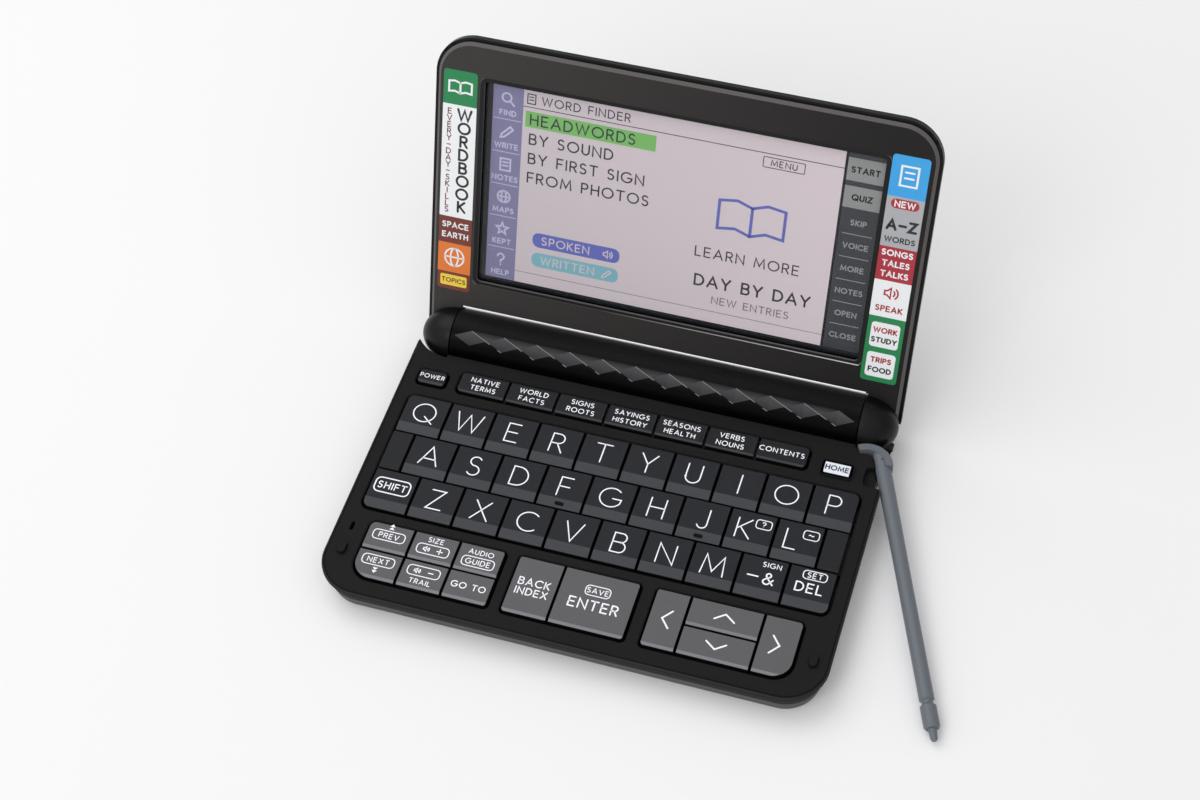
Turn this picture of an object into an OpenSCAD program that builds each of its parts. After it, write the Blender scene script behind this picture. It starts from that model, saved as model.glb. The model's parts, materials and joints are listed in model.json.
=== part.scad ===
/* [Keyboard] */
// Pitch of the letter keys from side to side
key_pitch_x = 13.84; // [13.6:0.04:14.0]
// Pitch of the letter rows from front to back
key_pitch_y = 14.07; // [13.8:0.03:14.4]
// Gap between two keys of one group
key_gap = 0.85; // [0.6:0.05:1.0]
// How far a key top stands above the deck
key_rise = 0.8; // [0.7:0.05:0.9]
// How far a key goes down when it is pressed
key_travel = 0.6; // [0.4:0.05:0.6]
// Depth of a key cap from its top to its lower edge
cap_depth = 2.3; // [2.2:0.05:2.6]
// Depth of the sloping front strip on a letter key
letter_strip = 3.1; // [2.6:0.1:3.6]
// How far the sloping strip falls at its front edge
strip_drop = 0.45; // [0.3:0.05:0.6]
// Depth of the bright front edge on the lower keys
edge_strip = 0.8; // [0.7:0.1:1.2]
// Width of one key of the lower left group
menu_pitch_x = 13.75; // [13.4:0.05:14.0]
// Depth of one row of the lower groups
menu_pitch_y = 9.55; // [9.3:0.05:9.7]
// Width of one key of the upper strip
book_pitch = 15.42; // [15.2:0.02:15.6]
// Depth of the upper strip
book_d = 7.6; // [7.2:0.1:7.8]

/* [Case] */
// Margin beside the letter keys
side_margin = 4.8; // [4.4:0.1:5.4]
// Margin in front of the lowest keys
front_margin = 5.8; // [5.2:0.1:6.4]
// Space between the lower groups and the letter keys
menu_space = 3.9; // [3.7:0.1:4.4]
// Space between the letter keys and the upper strip
book_space = 4.4; // [4.2:0.1:4.8]
// Space between the upper strip and the battery barrel
barrel_space = 5.2; // [4.8:0.1:6.0]
// Height of the deck above the underside
deck_h = 9.1; // [8.9:0.1:9.6]
// Thickness of the deck plate
deck_t = 1.4; // [1.2:0.1:1.5]
// Radius of the front corners
corner_r = 12.5; // [11:0.5:14]
// Height of the step below the deck edge
step_h = 1.3; // [1.1:0.1:1.6]
// How far the sides lean in from the step to the underside
lean_in = 2.3; // [1.6:0.1:2.8]
// Height of the parting line of the two case halves
part_z = 4.3; // [3.8:0.1:4.8]
// Thickness of the lower case's floor
floor_t = 1.5; // [1.4:0.1:1.7]
// Width of the solid band around the inside of the case
wall = 3.9; // [3.7:0.1:4.1]
// Height of the rubber bumpers above the deck
bumper_h = 1.1; // [0.6:0.1:1.2]
// Height of the rubber feet below the underside
foot_h = 0.7; // [0.6:0.1:1.0]
// Radius of a rubber foot
foot_r = 4; // [3:0.5:5]

/* [Hinge and barrel] */
// Clearance around the battery cells
cell_clear = 0.3; // [0.2:0.05:0.4]
// Wall of the battery barrel
barrel_wall = 1.2; // [1.0:0.05:1.25]
// How far the hinge axis lies below the deck
axis_drop = 0.8; // [0.5:0.1:0.9]
// Length of the rounded dome at each end
dome_len = 10.7; // [10:0.1:11.5]
// Gap between the barrel and a dome
seam = 0.4; // [0.3:0.05:0.5]
// Radius of the hinge pins
pin_r = 2.0; // [1.8:0.1:2.4]
// Running clearance around a hinge pin
pin_clear = 0.05; // [0.03:0.01:0.08]
// Number of diamond facets along the barrel
diamonds = 12; // [8:1:12]
// Length of one diamond facet
diamond_l = 10.3; // [8:0.1:10.4]
// Height of one diamond facet around the barrel
diamond_w = 4.6; // [3.6:0.1:4.8]
// Depth of a diamond facet at its middle
diamond_depth = 0.32; // [0.2:0.02:0.36]
// Length of one battery cell
cell_l = 50.5; // [49.5:0.1:50.5]
// Radius of a battery cell
cell_r = 7.1; // [7.0:0.05:7.2]

/* [Lid] */
// Angle of the lid from closed, as photographed
open_angle = 111; // [60:1:140]
// Largest angle of the lid from closed
open_max = 150; // [120:1:150]
// Gap between the deck and the closed lid
lid_gap = 1.6; // [1.4:0.1:2.2]
// Thickness of the lid
lid_t = 4.6; // [4.4:0.1:5.2]
// Thickness of the lid's inner frame
bezel_t = 1.4; // [1.3:0.05:1.5]
// How far the rear cover shows around the inner frame
rim = 1.0; // [0.8:0.1:1.4]
// Chamfer around the inner frame
bezel_edge = 0.9; // [0.6:0.1:1.1]
// Slot between the barrel and the lid's lower edge
lid_slot = 0.6; // [0.5:0.1:1.2]
// Radius of the lid's top corners
lid_corner_r = 12; // [10:0.5:14]
// Width of the display window
window_w = 117.6; // [110:0.2:118]
// Height of the display window
window_h = 65.8; // [60:0.2:67]
// Distance from the hinge axis to the window's lower edge
window_v = 18.8; // [18:0.2:20]
// Slope around the display window
window_edge = 1.2; // [0.8:0.1:1.4]
// Radius of the display window's corners
window_r = 1.2; // [0.6:0.1:2.0]
// Thickness of the display glass
glass_t = 0.7; // [0.5:0.05:0.75]
// Thickness of the display panel behind the glass
panel_t = 1.8; // [1.4:0.1:1.85]

/* [Pen] */
// Radius of the pen's shaft at its middle
pen_r = 2.15; // [2.05:0.05:2.25]
// Radius of the pen's shaft where it meets the head
pen_neck_r = 2.3; // [2.2:0.05:2.35]
// Length of the pen from its tip to the middle of its head
pen_l = 91; // [86:0.5:96]
// Radius of the pen's collar near its tip
collar_r = 2.3; // [2.2:0.05:2.4]
// Outer radius of the pen's curved head
head_r = 7.5; // [7.2:0.1:7.6]
// Thickness of the pen's curved head
head_t = 2.1; // [1.8:0.1:2.4]
// Height of the pen's curved head
head_h = 3.9; // [3.4:0.1:4.0]
// Clearance around the pen in its corner recess
pen_clear = 0.35; // [0.3:0.05:0.5]

/* [Inside] */
// Thickness of the circuit board
board_t = 1.2; // [1.0:0.1:1.4]
// Thickness of the rubber mat under the keys
mat_t = 0.6; // [0.5:0.1:0.7]
// Radius of a rubber dome on the mat
dome_r = 2.2; // [1.8:0.1:2.4]
// Radius of a screw's shank
screw_r = 0.8; // [0.7:0.05:0.9]
// Radius of a screw's head
screw_head_r = 1.6; // [1.5:0.05:1.7]
// Height of a screw's head
screw_head_h = 0.7; // [0.6:0.05:0.8]

/* [Hidden] */
$fn = 64;
// Clearance between fixed pieces that seat on each other
fit = 0.05;
tiny = 0.01;
// Reach of a cut past the face it opens
over = 1;
// Reach of a cut that runs out of the case
far = 30;

// The upper row: power key, strip of seven keys and home key
book_in = 12.7;
home_w = 8.4;
home_gap = 4.56;
home_in = 4.8;
upper_w = book_in + 7 * book_pitch + home_gap + home_w + home_in;
block_w = max(10 * key_pitch_x, upper_w);
case_w = block_w + 2 * side_margin;
half_w = case_w / 2;
barrel_r = cell_r + cell_clear + barrel_wall;
hinge_z = deck_h - axis_drop;
menu_d = 2 * menu_pitch_y;
letters_d = 3 * key_pitch_y;
reach = front_margin + menu_d + menu_space + letters_d + book_space + book_d + barrel_space + barrel_r;
case_d = reach + barrel_r;
front_y = -case_d / 2;
hinge_y = front_y + reach;
barrel_half = half_w - dome_len - seam;
horn_back = 5.2;
horn_gap = 1.1;
horn_y = hinge_y - horn_back;
back_gap = 3.2;

// Lines of the keyboard, from the front edge back
menu_y = front_y + front_margin;
letters_y = menu_y + menu_d + menu_space;
book_y = letters_y + letters_d + book_space;
letters_x = -5 * key_pitch_x;
menu_in = 5.1;
menu_x = letters_x + menu_in;
back_x = -19.0;
back_w = 13.8;
enter_w = 22.3;
arrow_x = 21.5;
arrow_side_w = 10.2;
arrow_mid_w = 21.2;
arrow_end_w = 11.2;
book_x = -block_w / 2 + book_in;
power_x = -block_w / 2;
power_w = 9.1;
power_d = 5.4;
small_key_back = 3.6;
power_y = book_y + book_d / 2 - small_key_back;
home_x = book_x + 7 * book_pitch + home_gap;
home_d = 4.4;
home_y = book_y + book_d / 2 - small_key_back;
home_rim_t = 0.3;
home_rim_h = 0.6;

key_top = deck_h + key_rise;
key_low = key_top - cap_depth;
half_gap = key_gap / 2;
board_lift = 0.9;
board_z = floor_t + board_lift;
mat_z = board_z + board_t;
mat_top = mat_z + mat_t;
stem_l = 1.45;
stem_end = key_low - stem_l;
stem_r = 1.5;
dome_slack = 0.05;
dome_top = stem_end - key_travel - dome_slack;

// Corners of a group are front left, front right, back right, back left
// A group is x, y, width, depth and its four corner radii
letter_round = 2.4;
G_POWER = [power_x, power_y, power_w, power_d, 1.3, 1.3, 1.3, 1.3];
G_BOOKS = [book_x, book_y, 7 * book_pitch, book_d, 1.6, 1.6, 1.6, 1.6];
G_HOME = [home_x, home_y, home_w, home_d, 0.6, 0.6, 0.6, 0.6];
G_TOP_ROW = [letters_x, letters_y + 2 * key_pitch_y, 10 * key_pitch_x, key_pitch_y, 0, 0, letter_round, letter_round];
G_MID_ROW = [letters_x + key_pitch_x / 2, letters_y + key_pitch_y, 9 * key_pitch_x, key_pitch_y, 0, 0, 0, 0];
G_LOW_ROW = [letters_x, letters_y, 10 * key_pitch_x, key_pitch_y, letter_round, letter_round, 0, 0];
G_LETTERS = [letters_x, letters_y, 10 * key_pitch_x, letters_d, letter_round, letter_round, letter_round, letter_round];
G_MENU = [menu_x, menu_y, 3 * menu_pitch_x, menu_d, 5.6, 1.2, 1.2, 2.2];
G_BACK = [back_x, menu_y, back_w + enter_w, menu_d, 1.2, 1.2, 1.2, 1.2];
G_ARROWS = [arrow_x, menu_y, arrow_side_w + arrow_mid_w + arrow_end_w, menu_d, 1.2, 5.6, 1.6, 1.2];
GROUPS = [G_POWER, G_BOOKS, G_HOME, G_TOP_ROW, G_MID_ROW, G_LOW_ROW, G_MENU, G_BACK, G_ARROWS];
// Blocks whose opening has a small ledge around it
LEDGED = [G_POWER, G_BOOKS, G_LETTERS, G_MENU, G_BACK, G_ARROWS];
ledge_w = 0.3;
ledge_h = 0.2;
// Depth of the letter block's well, from which the fixed half keys rise
well_h = 0.8;

// A key is its name, x, y, width, depth, group, front strip and colour
LETTERS_1 = ["q", "w", "e", "r", "t", "y", "u", "i", "o", "p"];
LETTERS_2 = ["a", "s", "d", "f", "g", "h", "j", "k", "l"];
LETTERS_3 = ["shift", "z", "x", "c", "v", "b", "n", "m", "dash", "delete"];
MENU_NAMES = [["page_down", "volume_down", "jump"], ["page_up", "volume_up", "search"]];
DARK = [0.18, 0.18, 0.19];
GREY = [0.4, 0.4, 0.41];
WHITE = [0.92, 0.94, 0.97];
BLACK = [0.12, 0.12, 0.12];
function letter_key(name, column, row, group) =
    [str("key_", name), letters_x + column * key_pitch_x, letters_y + row * key_pitch_y,
     key_pitch_x, key_pitch_y, group, letter_strip, DARK];
function lower_key(name, x, y, w, d, group) = [str("key_", name), x, y, w, d, group, edge_strip, GREY];
arrow_mid_x = arrow_x + arrow_side_w;
arrow_end_x = arrow_mid_x + arrow_mid_w;
KEYS = concat(
    [for (i = [0:9]) letter_key(LETTERS_1[i], i, 2, G_TOP_ROW)],
    [for (i = [0:8]) letter_key(LETTERS_2[i], i + 0.5, 1, G_MID_ROW)],
    [for (i = [0:9]) letter_key(LETTERS_3[i], i, 0, G_LOW_ROW)],
    [for (j = [0:1], i = [0:2]) lower_key(MENU_NAMES[j][i], menu_x + i * menu_pitch_x,
        menu_y + j * menu_pitch_y, menu_pitch_x, menu_pitch_y, G_MENU)],
    [lower_key("back", back_x, menu_y, back_w, menu_d, G_BACK),
     lower_key("enter", back_x + back_w, menu_y, enter_w, menu_d, G_BACK),
     lower_key("left", arrow_x, menu_y, arrow_side_w, menu_d, G_ARROWS),
     lower_key("down", arrow_mid_x, menu_y, arrow_mid_w, menu_pitch_y, G_ARROWS),
     lower_key("up", arrow_mid_x, menu_y + menu_pitch_y, arrow_mid_w, menu_pitch_y, G_ARROWS),
     lower_key("right", arrow_end_x, menu_y, arrow_end_w, menu_d, G_ARROWS),
     ["key_power", power_x, power_y, power_w, power_d, G_POWER, 0.7, DARK],
     ["key_home", home_x, home_y, home_w, home_d, G_HOME, 0.5, WHITE]]
);
BOOK_STEMS = [for (i = [0:6]) [book_x + (i + 0.5) * book_pitch, book_y + book_d / 2]];
STEMS = concat([for (k = KEYS) [k[1] + k[3] / 2, k[2] + k[4] / 2]], BOOK_STEMS);

SCREW_X = 58;
SCREWS = [for (x = [-SCREW_X, SCREW_X], y = [letters_y - menu_space / 2, book_y - book_space / 2]) [x, y]];
boss_r = 1.7;

// The lid's own lines, from the hinge axis up
lid_in = deck_h + lid_gap - hinge_z;
lid_v = reach;
lid_low = sqrt(pow(barrel_r + lid_slot, 2) - pow(lid_in, 2));
lid_back = lid_in + lid_t;
lid_step = lid_in + bezel_t;

// The pen lies with its head in the corner recess and its tip on the table
head_side = 5.8;
head_back = 15.6;
pen_head = [half_w - head_side, hinge_y - head_back];
pen_turn = 112.3;
pen_below_lid = 0.35;
head_over = 0.1;
pen_top = deck_h + lid_gap - pen_below_lid;
pen_high = pen_top - pen_neck_r - head_over;
pen_low = collar_r + fit - foot_h;
pen_tilt = asin((pen_high - pen_low) / pen_l);
root_turn = 64.7;
head_mid = head_r - head_t / 2;
pen_root = pen_head + head_mid * [cos(root_turn), sin(root_turn)];
pen_floor = pen_high - pen_neck_r - fit;
channel_l = 15;
channel_fall = channel_l * sin(pen_tilt) + max(pen_r - pen_neck_r, 0);
head_from = 13;
head_to = 124;

// The strap pocket beside the pen, and its through slot at the side
notch_side = 5.9;
notch_back = 15.4;
notch_d = 7.0;
notch_x = half_w - notch_side;
notch_y1 = hinge_y - notch_back;
notch_y0 = notch_y1 - notch_d;
notch_round = 1.6;
eye_depth = 2;
eye_slot = 2.4;

// A rectangle with a radius of its own at each corner
module corner_bite(r) {
    if (r > 0) difference() {
        translate([-over, -over]) square(r + over);
        translate([r, r]) circle(r);
    }
}
module round_rect(x, y, w, d, r0, r1, r2, r3) {
    difference() {
        translate([x, y]) square([w, d]);
        translate([x, y]) corner_bite(r0);
        translate([x + w, y]) rotate(90) corner_bite(r1);
        translate([x + w, y + d]) rotate(180) corner_bite(r2);
        translate([x, y + d]) rotate(-90) corner_bite(r3);
    }
}
module group_plan(g, inset) {
    round_rect(g[0] + inset, g[1] + inset, g[2] - 2 * inset, g[3] - 2 * inset,
        inner_r(g[4], inset), inner_r(g[5], inset), inner_r(g[6], inset), inner_r(g[7], inset));
}
function inner_r(r, inset) = r > 0 ? max(r - inset, 0) : 0;
module slot_plan(l, w) {
    square([l - w, w], center = true);
    for (s = [-1, 1]) translate([s * (l - w) / 2, 0]) circle(d = w);
}

// The case, before it is parted
module case_plan(inset) {
    round_rect(-half_w + inset, front_y + inset, case_w - 2 * inset, horn_y - front_y - inset,
        corner_r - inset, corner_r - inset, 0, 0);
}
edge_cut = 0.4;
step_z = deck_h - step_h;
step_in = 0.3;
module case_block() {
    hull() {
        translate([0, 0, step_z + step_in]) linear_extrude(deck_h - step_z - step_in - edge_cut) case_plan(0);
        translate([0, 0, deck_h - tiny]) linear_extrude(tiny) case_plan(edge_cut);
    }
    translate([0, 0, step_z - tiny]) linear_extrude(step_in + 2 * tiny) case_plan(2 * step_in);
    hull() {
        translate([0, 0, step_z - tiny]) linear_extrude(tiny) case_plan(step_in);
        linear_extrude(tiny) case_plan(lean_in);
    }
}
module along_x(l) {
    translate([-l / 2, 0, 0]) rotate([90, 0, 90]) linear_extrude(l) children();
}
module at_hinge() {
    translate([0, hinge_y, hinge_z]) children();
}
function dome_curve(grow, from, to, step) =
    [for (a = [from:step:to]) [half_w - dome_len + (dome_len + grow) * cos(a), (barrel_r + grow) * sin(a)]];
module hinge_room() {
    at_hinge() along_x(2 * (barrel_half + seam) + tiny) circle(barrel_r + fit);
    for (s = [0, 1]) mirror([s, 0, 0]) translate([0, hinge_y, -over])
        linear_extrude(deck_h + 2 * over)
            polygon(concat([[half_w - dome_len, -barrel_r - horn_gap]], dome_curve(horn_gap, -90, 90, 6)));
}
module case_hollow() {
    translate([0, 0, floor_t]) linear_extrude(deck_h - deck_t - floor_t)
        round_rect(-half_w + wall, front_y + wall, case_w - 2 * wall, hinge_y - barrel_r - back_gap - front_y - wall,
            corner_r - wall, corner_r - wall, 1, 1);
}
// Solid ground under the pen's head and shaft
pocket_wall = 1;
module pen_block() {
    intersection() {
        case_block();
        union() {
            translate([pen_head[0] - head_mid, pen_head[1] + head_t, part_z]) cube([case_w, reach, deck_h]);
            translate([notch_x - pocket_wall, notch_y0 - 4 * pocket_wall, part_z]) cube([case_w, reach, deck_h]);
        }
    }
}
// The recess follows the pen on its left and lets it out to the right
module pen_cut() {
    low = (head_r - head_t) * sin(head_to) - pen_clear;
    edge = head_to + 3;
    translate([0, 0, pen_floor]) linear_extrude(deck_h) {
        translate(pen_head) {
            intersection() {
                circle(head_r + pen_clear);
                polygon([[low / tan(edge), low], far * [cos(edge), sin(edge)], [far, far], [far, low]]);
            }
            translate([0, low]) square([far, head_r + pen_clear - low]);
        }
    }
    // The channel is deeper, because the shaft falls towards the table
    translate([0, 0, pen_floor - channel_fall]) linear_extrude(deck_h)
        translate(pen_root) rotate(pen_turn)
            translate([-pen_l, -far]) square([pen_l, far + pen_neck_r + pen_clear]);
}
// A strap eye beside the pen: a shallow pocket and a narrow slot right through
module strap_eye() {
    translate([0, 0, deck_h - eye_depth]) linear_extrude(eye_depth + over)
        round_rect(notch_x, notch_y0, notch_side + over, notch_d, notch_round, 0, 0, notch_round);
    translate([0, 0, -over]) linear_extrude(deck_h + 2 * over)
        round_rect(half_w - eye_slot, notch_y0, eye_slot + over, notch_d, eye_slot / 6, 0, 0, eye_slot / 6);
}

module upper_case() {
    color([0.14, 0.14, 0.14]) {
        difference() {
            union() {
                difference() {
                    intersection() {
                        case_block();
                        translate([-half_w, front_y, part_z]) cube([case_w, case_d, deck_h]);
                    }
                    case_hollow();
                }
                pen_block();
            }
            hinge_room();
            for (g = GROUPS) translate([0, 0, part_z]) linear_extrude(deck_h) group_plan(g, -half_gap);
            for (g = LEDGED) translate([0, 0, deck_h - ledge_h])
                linear_extrude(ledge_h + over) group_plan(g, -half_gap - ledge_w);
            translate([0, 0, deck_h - well_h]) linear_extrude(well_h + over) group_plan(G_LETTERS, -half_gap);
            pen_cut();
            strap_eye();
            surface_marks();
        }
        for (s = [0, 1]) mirror([s, 0, 0]) filler_key();
        home_frame();
        bumpers();
        for (p = SCREWS) difference() {
            translate([p[0], p[1], floor_t + fit]) cylinder(r = boss_r, h = deck_h - deck_t - floor_t - fit + tiny);
            translate([p[0], p[1], 0]) cylinder(r = screw_r + fit, h = deck_h - deck_t - 1);
        }
    }
}
// The two half keys at the ends of the middle row don't move
module filler_key() {
    x = letters_x;
    y = letters_y + key_pitch_y;
    key_solid([x, y, key_pitch_x / 2, key_pitch_y], plain_strip, deck_h - well_h - tiny);
}
plain_strip = 0.5;
module home_frame() {
    translate([0, 0, deck_h - tiny]) linear_extrude(home_rim_h + tiny) difference() {
        group_plan(G_HOME, -half_gap - home_rim_t);
        group_plan(G_HOME, -half_gap);
    }
}
// A slit through the deck at the left
mark_side = 5.0;
slit_y = 21.9;
slit_l = 3.1;
slit_w = 1.1;
module surface_marks() {
    translate([-half_w + mark_side, front_y + slit_y, deck_h - deck_t - over])
        linear_extrude(deck_t + 2 * over) rotate(90) slot_plan(slit_l, slit_w);
}
// Two small bumpers that the closed lid comes down on
bumper_y = 13.9;
bumper_l = 4.0;
bumper_w = 2.2;
module bumpers() {
    for (s = [-1, 1]) translate([s * (half_w - mark_side), front_y + bumper_y, deck_h - tiny])
        linear_extrude(bumper_h + tiny) rotate(90) slot_plan(bumper_l, bumper_w);
}

// A key cap: level on top, with a sloping strip at the front
module key_solid(r, strip, low) {
    x = r[0] + half_gap;
    y = r[1] + half_gap;
    w = r[2] - key_gap;
    d = r[3] - key_gap;
    translate([x, y, 0]) rotate([90, 0, 90]) linear_extrude(w)
        polygon([[0, low], [d, low], [d, key_top], [strip, key_top], [0, key_top - strip_drop]]);
}
module stem(p) {
    translate([p[0], p[1], stem_end]) cylinder(r = stem_r, h = key_low - stem_end + tiny);
}
module key(k) {
    color(k[7]) {
        intersection() {
            key_solid([k[1], k[2], k[3], k[4]], k[6], key_low);
            linear_extrude(key_top + over) group_plan(k[5], half_gap);
        }
        stem([k[1] + k[3] / 2, k[2] + k[4] / 2]);
        if (k[0] == "key_f" || k[0] == "key_j") home_bar(k);
    }
}
// The raised bar by which the fingers find the middle row
bar_l = 2.6;
bar_w = 0.9;
bar_h = 0.15;
bar_in = 0.9;
module home_bar(k) {
    translate([k[1] + k[3] / 2, k[2] + half_gap + bar_in + bar_w / 2, key_top - strip_drop])
        linear_extrude(strip_drop + bar_h) slot_plan(bar_l, bar_w);
}
// Seven keys moulded as one strip, with a thin web between them
web_t = 0.5;
module key_books() {
    color(DARK) {
        intersection() {
            union() {
                for (i = [0:6])
                    key_solid([book_x + i * book_pitch, book_y, book_pitch, book_d], plain_strip, key_low);
                translate([0, 0, key_low]) linear_extrude(web_t) group_plan(G_BOOKS, half_gap);
            }
            linear_extrude(key_top + over) group_plan(G_BOOKS, half_gap);
        }
        for (p = BOOK_STEMS) stem(p);
    }
}

module lower_case() {
    color([0.16, 0.16, 0.16]) difference() {
        intersection() {
            case_block();
            translate([-half_w, front_y, 0]) cube([case_w, case_d, part_z]);
        }
        case_hollow();
        hinge_room();
        for (p = SCREWS) {
            translate([p[0], p[1], -over]) cylinder(r = screw_head_r + screw_play, h = over + screw_head_h);
            translate([p[0], p[1], -over]) cylinder(r = screw_r + screw_play, h = 2 * over + floor_t);
        }
        for (p = FEET) translate([p[0], p[1], -over]) cylinder(r = foot_r + fit, h = over + foot_seat);
        strap_eye();
        // A shallow field for the rating label
        translate([0, letters_y, -over]) linear_extrude(over + label_in) slot_plan(label_l, label_w);
    }
    color([0.16, 0.16, 0.16]) for (p = BOARD_POSTS)
        translate([p[0], p[1], floor_t - tiny]) cylinder(r = post_r, h = board_z - floor_t + tiny);
}
screw_play = 0.2;
label_in = 0.2;
label_l = 62;
label_w = 22;
foot_seat = 0.5;
foot_side = 14;
foot_front = 9.5;
FEET = [for (x = [-1, 1], y = [front_y + foot_front, hinge_y - foot_side]) [x * (half_w - foot_side), y]];
post_r = 1.6;
post_in = 4;
board_gap = 0.4;
board_right_gap = 2.6;
board_back = book_y + book_d - board_gap;
BOARD_POSTS = [for (x = [-SCREW_X + 10, 0, SCREW_X - 10],
    y = [menu_y + post_in, letters_y + letters_d / 2, board_back - post_in]) [x, y]];
board_left = -half_w + wall + board_gap;
board_right = half_w - wall - board_right_gap;
module board_plan(grow) {
    difference() {
        round_rect(board_left, front_y + wall + board_gap, board_right - board_left,
            board_back - front_y - wall - board_gap, corner_r - wall, corner_r - wall, 1, 1);
        for (p = SCREWS) translate(p) circle(boss_r + grow);
    }
}
module main_board() {
    color([0.1, 0.35, 0.2]) translate([0, 0, board_z]) linear_extrude(board_t) board_plan(0.4);
}
module key_mat() {
    color([0.7, 0.7, 0.68]) {
        translate([0, 0, mat_z]) linear_extrude(mat_t) board_plan(0.5);
        for (p = STEMS) translate([p[0], p[1], mat_top - tiny]) cylinder(r = dome_r, h = dome_top - mat_top + tiny);
    }
}
module rubber_feet() {
    color([0.08, 0.08, 0.08]) for (p = FEET)
        translate([p[0], p[1], -foot_h]) cylinder(r = foot_r, h = foot_h + foot_seat);
}
cross_l = 2;
cross_w = 0.35;
module case_screws() {
    color([0.75, 0.75, 0.77]) for (p = SCREWS) translate([p[0], p[1], 0]) {
        difference() {
            cylinder(r = screw_head_r, h = screw_head_h);
            translate([0, 0, -tiny]) for (a = [0, 90]) rotate(a)
                translate([-cross_l / 2, -cross_w / 2, 0]) cube([cross_l, cross_w, cross_w + tiny]);
        }
        cylinder(r = screw_r, h = deck_h - deck_t - screw_head_r);
    }
}

// Barrel: end walls, two cell ends, a rear opening for the cover and the diamond facets
end_wall = 3;
cell_wall = 1;
contact_room = 1.5;
bay_half = cell_l + contact_room;
cover_half = cell_l - 0.5;
cover_front = 1.5;
cover_drop = 2.2;
cover_slip = 0.15;
diamond_turn = 53;
// The rear and lower quarter of the barrel's wall, where the cover goes
module cover_ring(slip) {
    intersection() {
        difference() {
            circle(barrel_r + (slip > 0 ? 0 : over));
            circle(barrel_r - barrel_wall - (slip > 0 ? 0 : over));
        }
        translate([cover_front + slip, -2 * barrel_r]) square([2 * barrel_r, 2 * barrel_r - cover_drop - slip]);
    }
}
module barrel_facets() {
    flat_r = barrel_r - diamond_depth;
    for (i = [0:diamonds - 1]) rotate([-diamond_turn, 0, 0])
        translate([(i - (diamonds - 1) / 2) * diamond_l, -flat_r, 0]) rotate([90, 0, 0])
            linear_extrude(over) polygon([[-diamond_l / 2 + fit, 0], [0, -diamond_w / 2],
                [diamond_l / 2 - fit, 0], [0, diamond_w / 2]]);
}
module battery_barrel() {
    color([0.09, 0.09, 0.1]) at_hinge() difference() {
        along_x(2 * barrel_half) circle(barrel_r);
        along_x(2 * bay_half) circle(barrel_r - barrel_wall);
        for (s = [-1, 1]) translate([s * (barrel_half - end_wall + bay_half + cell_wall) / 2, 0, 0])
            along_x(barrel_half - end_wall - bay_half - cell_wall) circle(barrel_r - barrel_wall);
        along_x(2 * barrel_half + 2 * over) circle(pin_r + pin_clear);
        along_x(2 * cover_half) cover_ring(0);
        barrel_facets();
    }
}
grip_ribs = 5;
grip_l = 14;
grip_t = 0.7;
grip_h = 0.25;
grip_step = 9;
// The cover has a row of grip ribs around its middle
module battery_cover() {
    color([0.1, 0.1, 0.11]) at_hinge() {
        along_x(2 * (cover_half - cover_slip)) cover_ring(cover_slip);
        for (i = [0:grip_ribs - 1]) rotate([-(i + 3.5) * grip_step, 0, 0])
            translate([-grip_l / 2, barrel_r - barrel_wall / 2, -grip_t / 2])
                cube([grip_l, barrel_wall / 2 + grip_h, grip_t]);
    }
}
nub_l = 1;
module batteries() {
    nub_r = cell_r / 2.75;
    color([0.55, 0.5, 0.3]) at_hinge() for (s = [0, 1]) translate([s * cell_l - cell_l / 2, 0, 0]) {
        translate([-nub_l / 2, 0, 0]) along_x(cell_l - nub_l - 2 * tiny) circle(cell_r);
        translate([cell_l / 2 - nub_l / 2 - tiny, 0, 0]) along_x(nub_l - 2 * tiny + fit) circle(nub_r);
    }
}
module battery_contacts() {
    plate_t = 0.4;
    plate_r = cell_r;
    color([0.8, 0.8, 0.8]) at_hinge() for (s = [-1, 1])
        translate([s * (bay_half - plate_t / 2 - 0.02), 0, 0]) {
            along_x(plate_t) circle(plate_r);
            translate([-s * (contact_room - 0.1) / 2, 0, 0]) along_x(contact_room - 0.2 - plate_t) circle(2);
        }
}
pin_in = 0.3;
pin_out = 6;
module hinge_pins() {
    pin_l = end_wall - pin_in + seam + pin_out;
    color([0.7, 0.7, 0.72]) at_hinge() for (s = [-1, 1])
        translate([s * (barrel_half - end_wall + pin_in + pin_l / 2), 0, 0]) along_x(pin_l) circle(pin_r);
}

// The lid is drawn closed, with its hinge axis at the origin, and then opened
module in_lid() {
    at_hinge() rotate([-open_angle, 0, 0]) children();
}
module lid_plan(inset, v0) {
    translate([0, -lid_v, 0]) round_rect(-half_w + inset, inset, case_w - 2 * inset, lid_v - v0 - inset,
        lid_corner_r - inset, lid_corner_r - inset, 0, 0);
}
module lid_slab(inset, z, h) {
    translate([0, 0, z]) linear_extrude(h) lid_plan(inset, 0);
}
module dome_solid(grow) {
    rotate([0, 90, 0]) rotate_extrude(angle = 360) polygon(concat(
        [[0, half_w - dome_len - grow]],
        [for (i = [0:16]) let (a = 90 * i / 16) [(barrel_r + grow) * cos(a), half_w - dome_len + (dome_len + grow) * sin(a)]]));
}
module barrel_notch() {
    notch_half = half_w - dome_len;
    translate([-notch_half, -lid_low, -lid_back]) cube([2 * notch_half, lid_low + 20, 3 * lid_back]);
}
cover_round = 1.2;
seat = 0.02;
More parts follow.
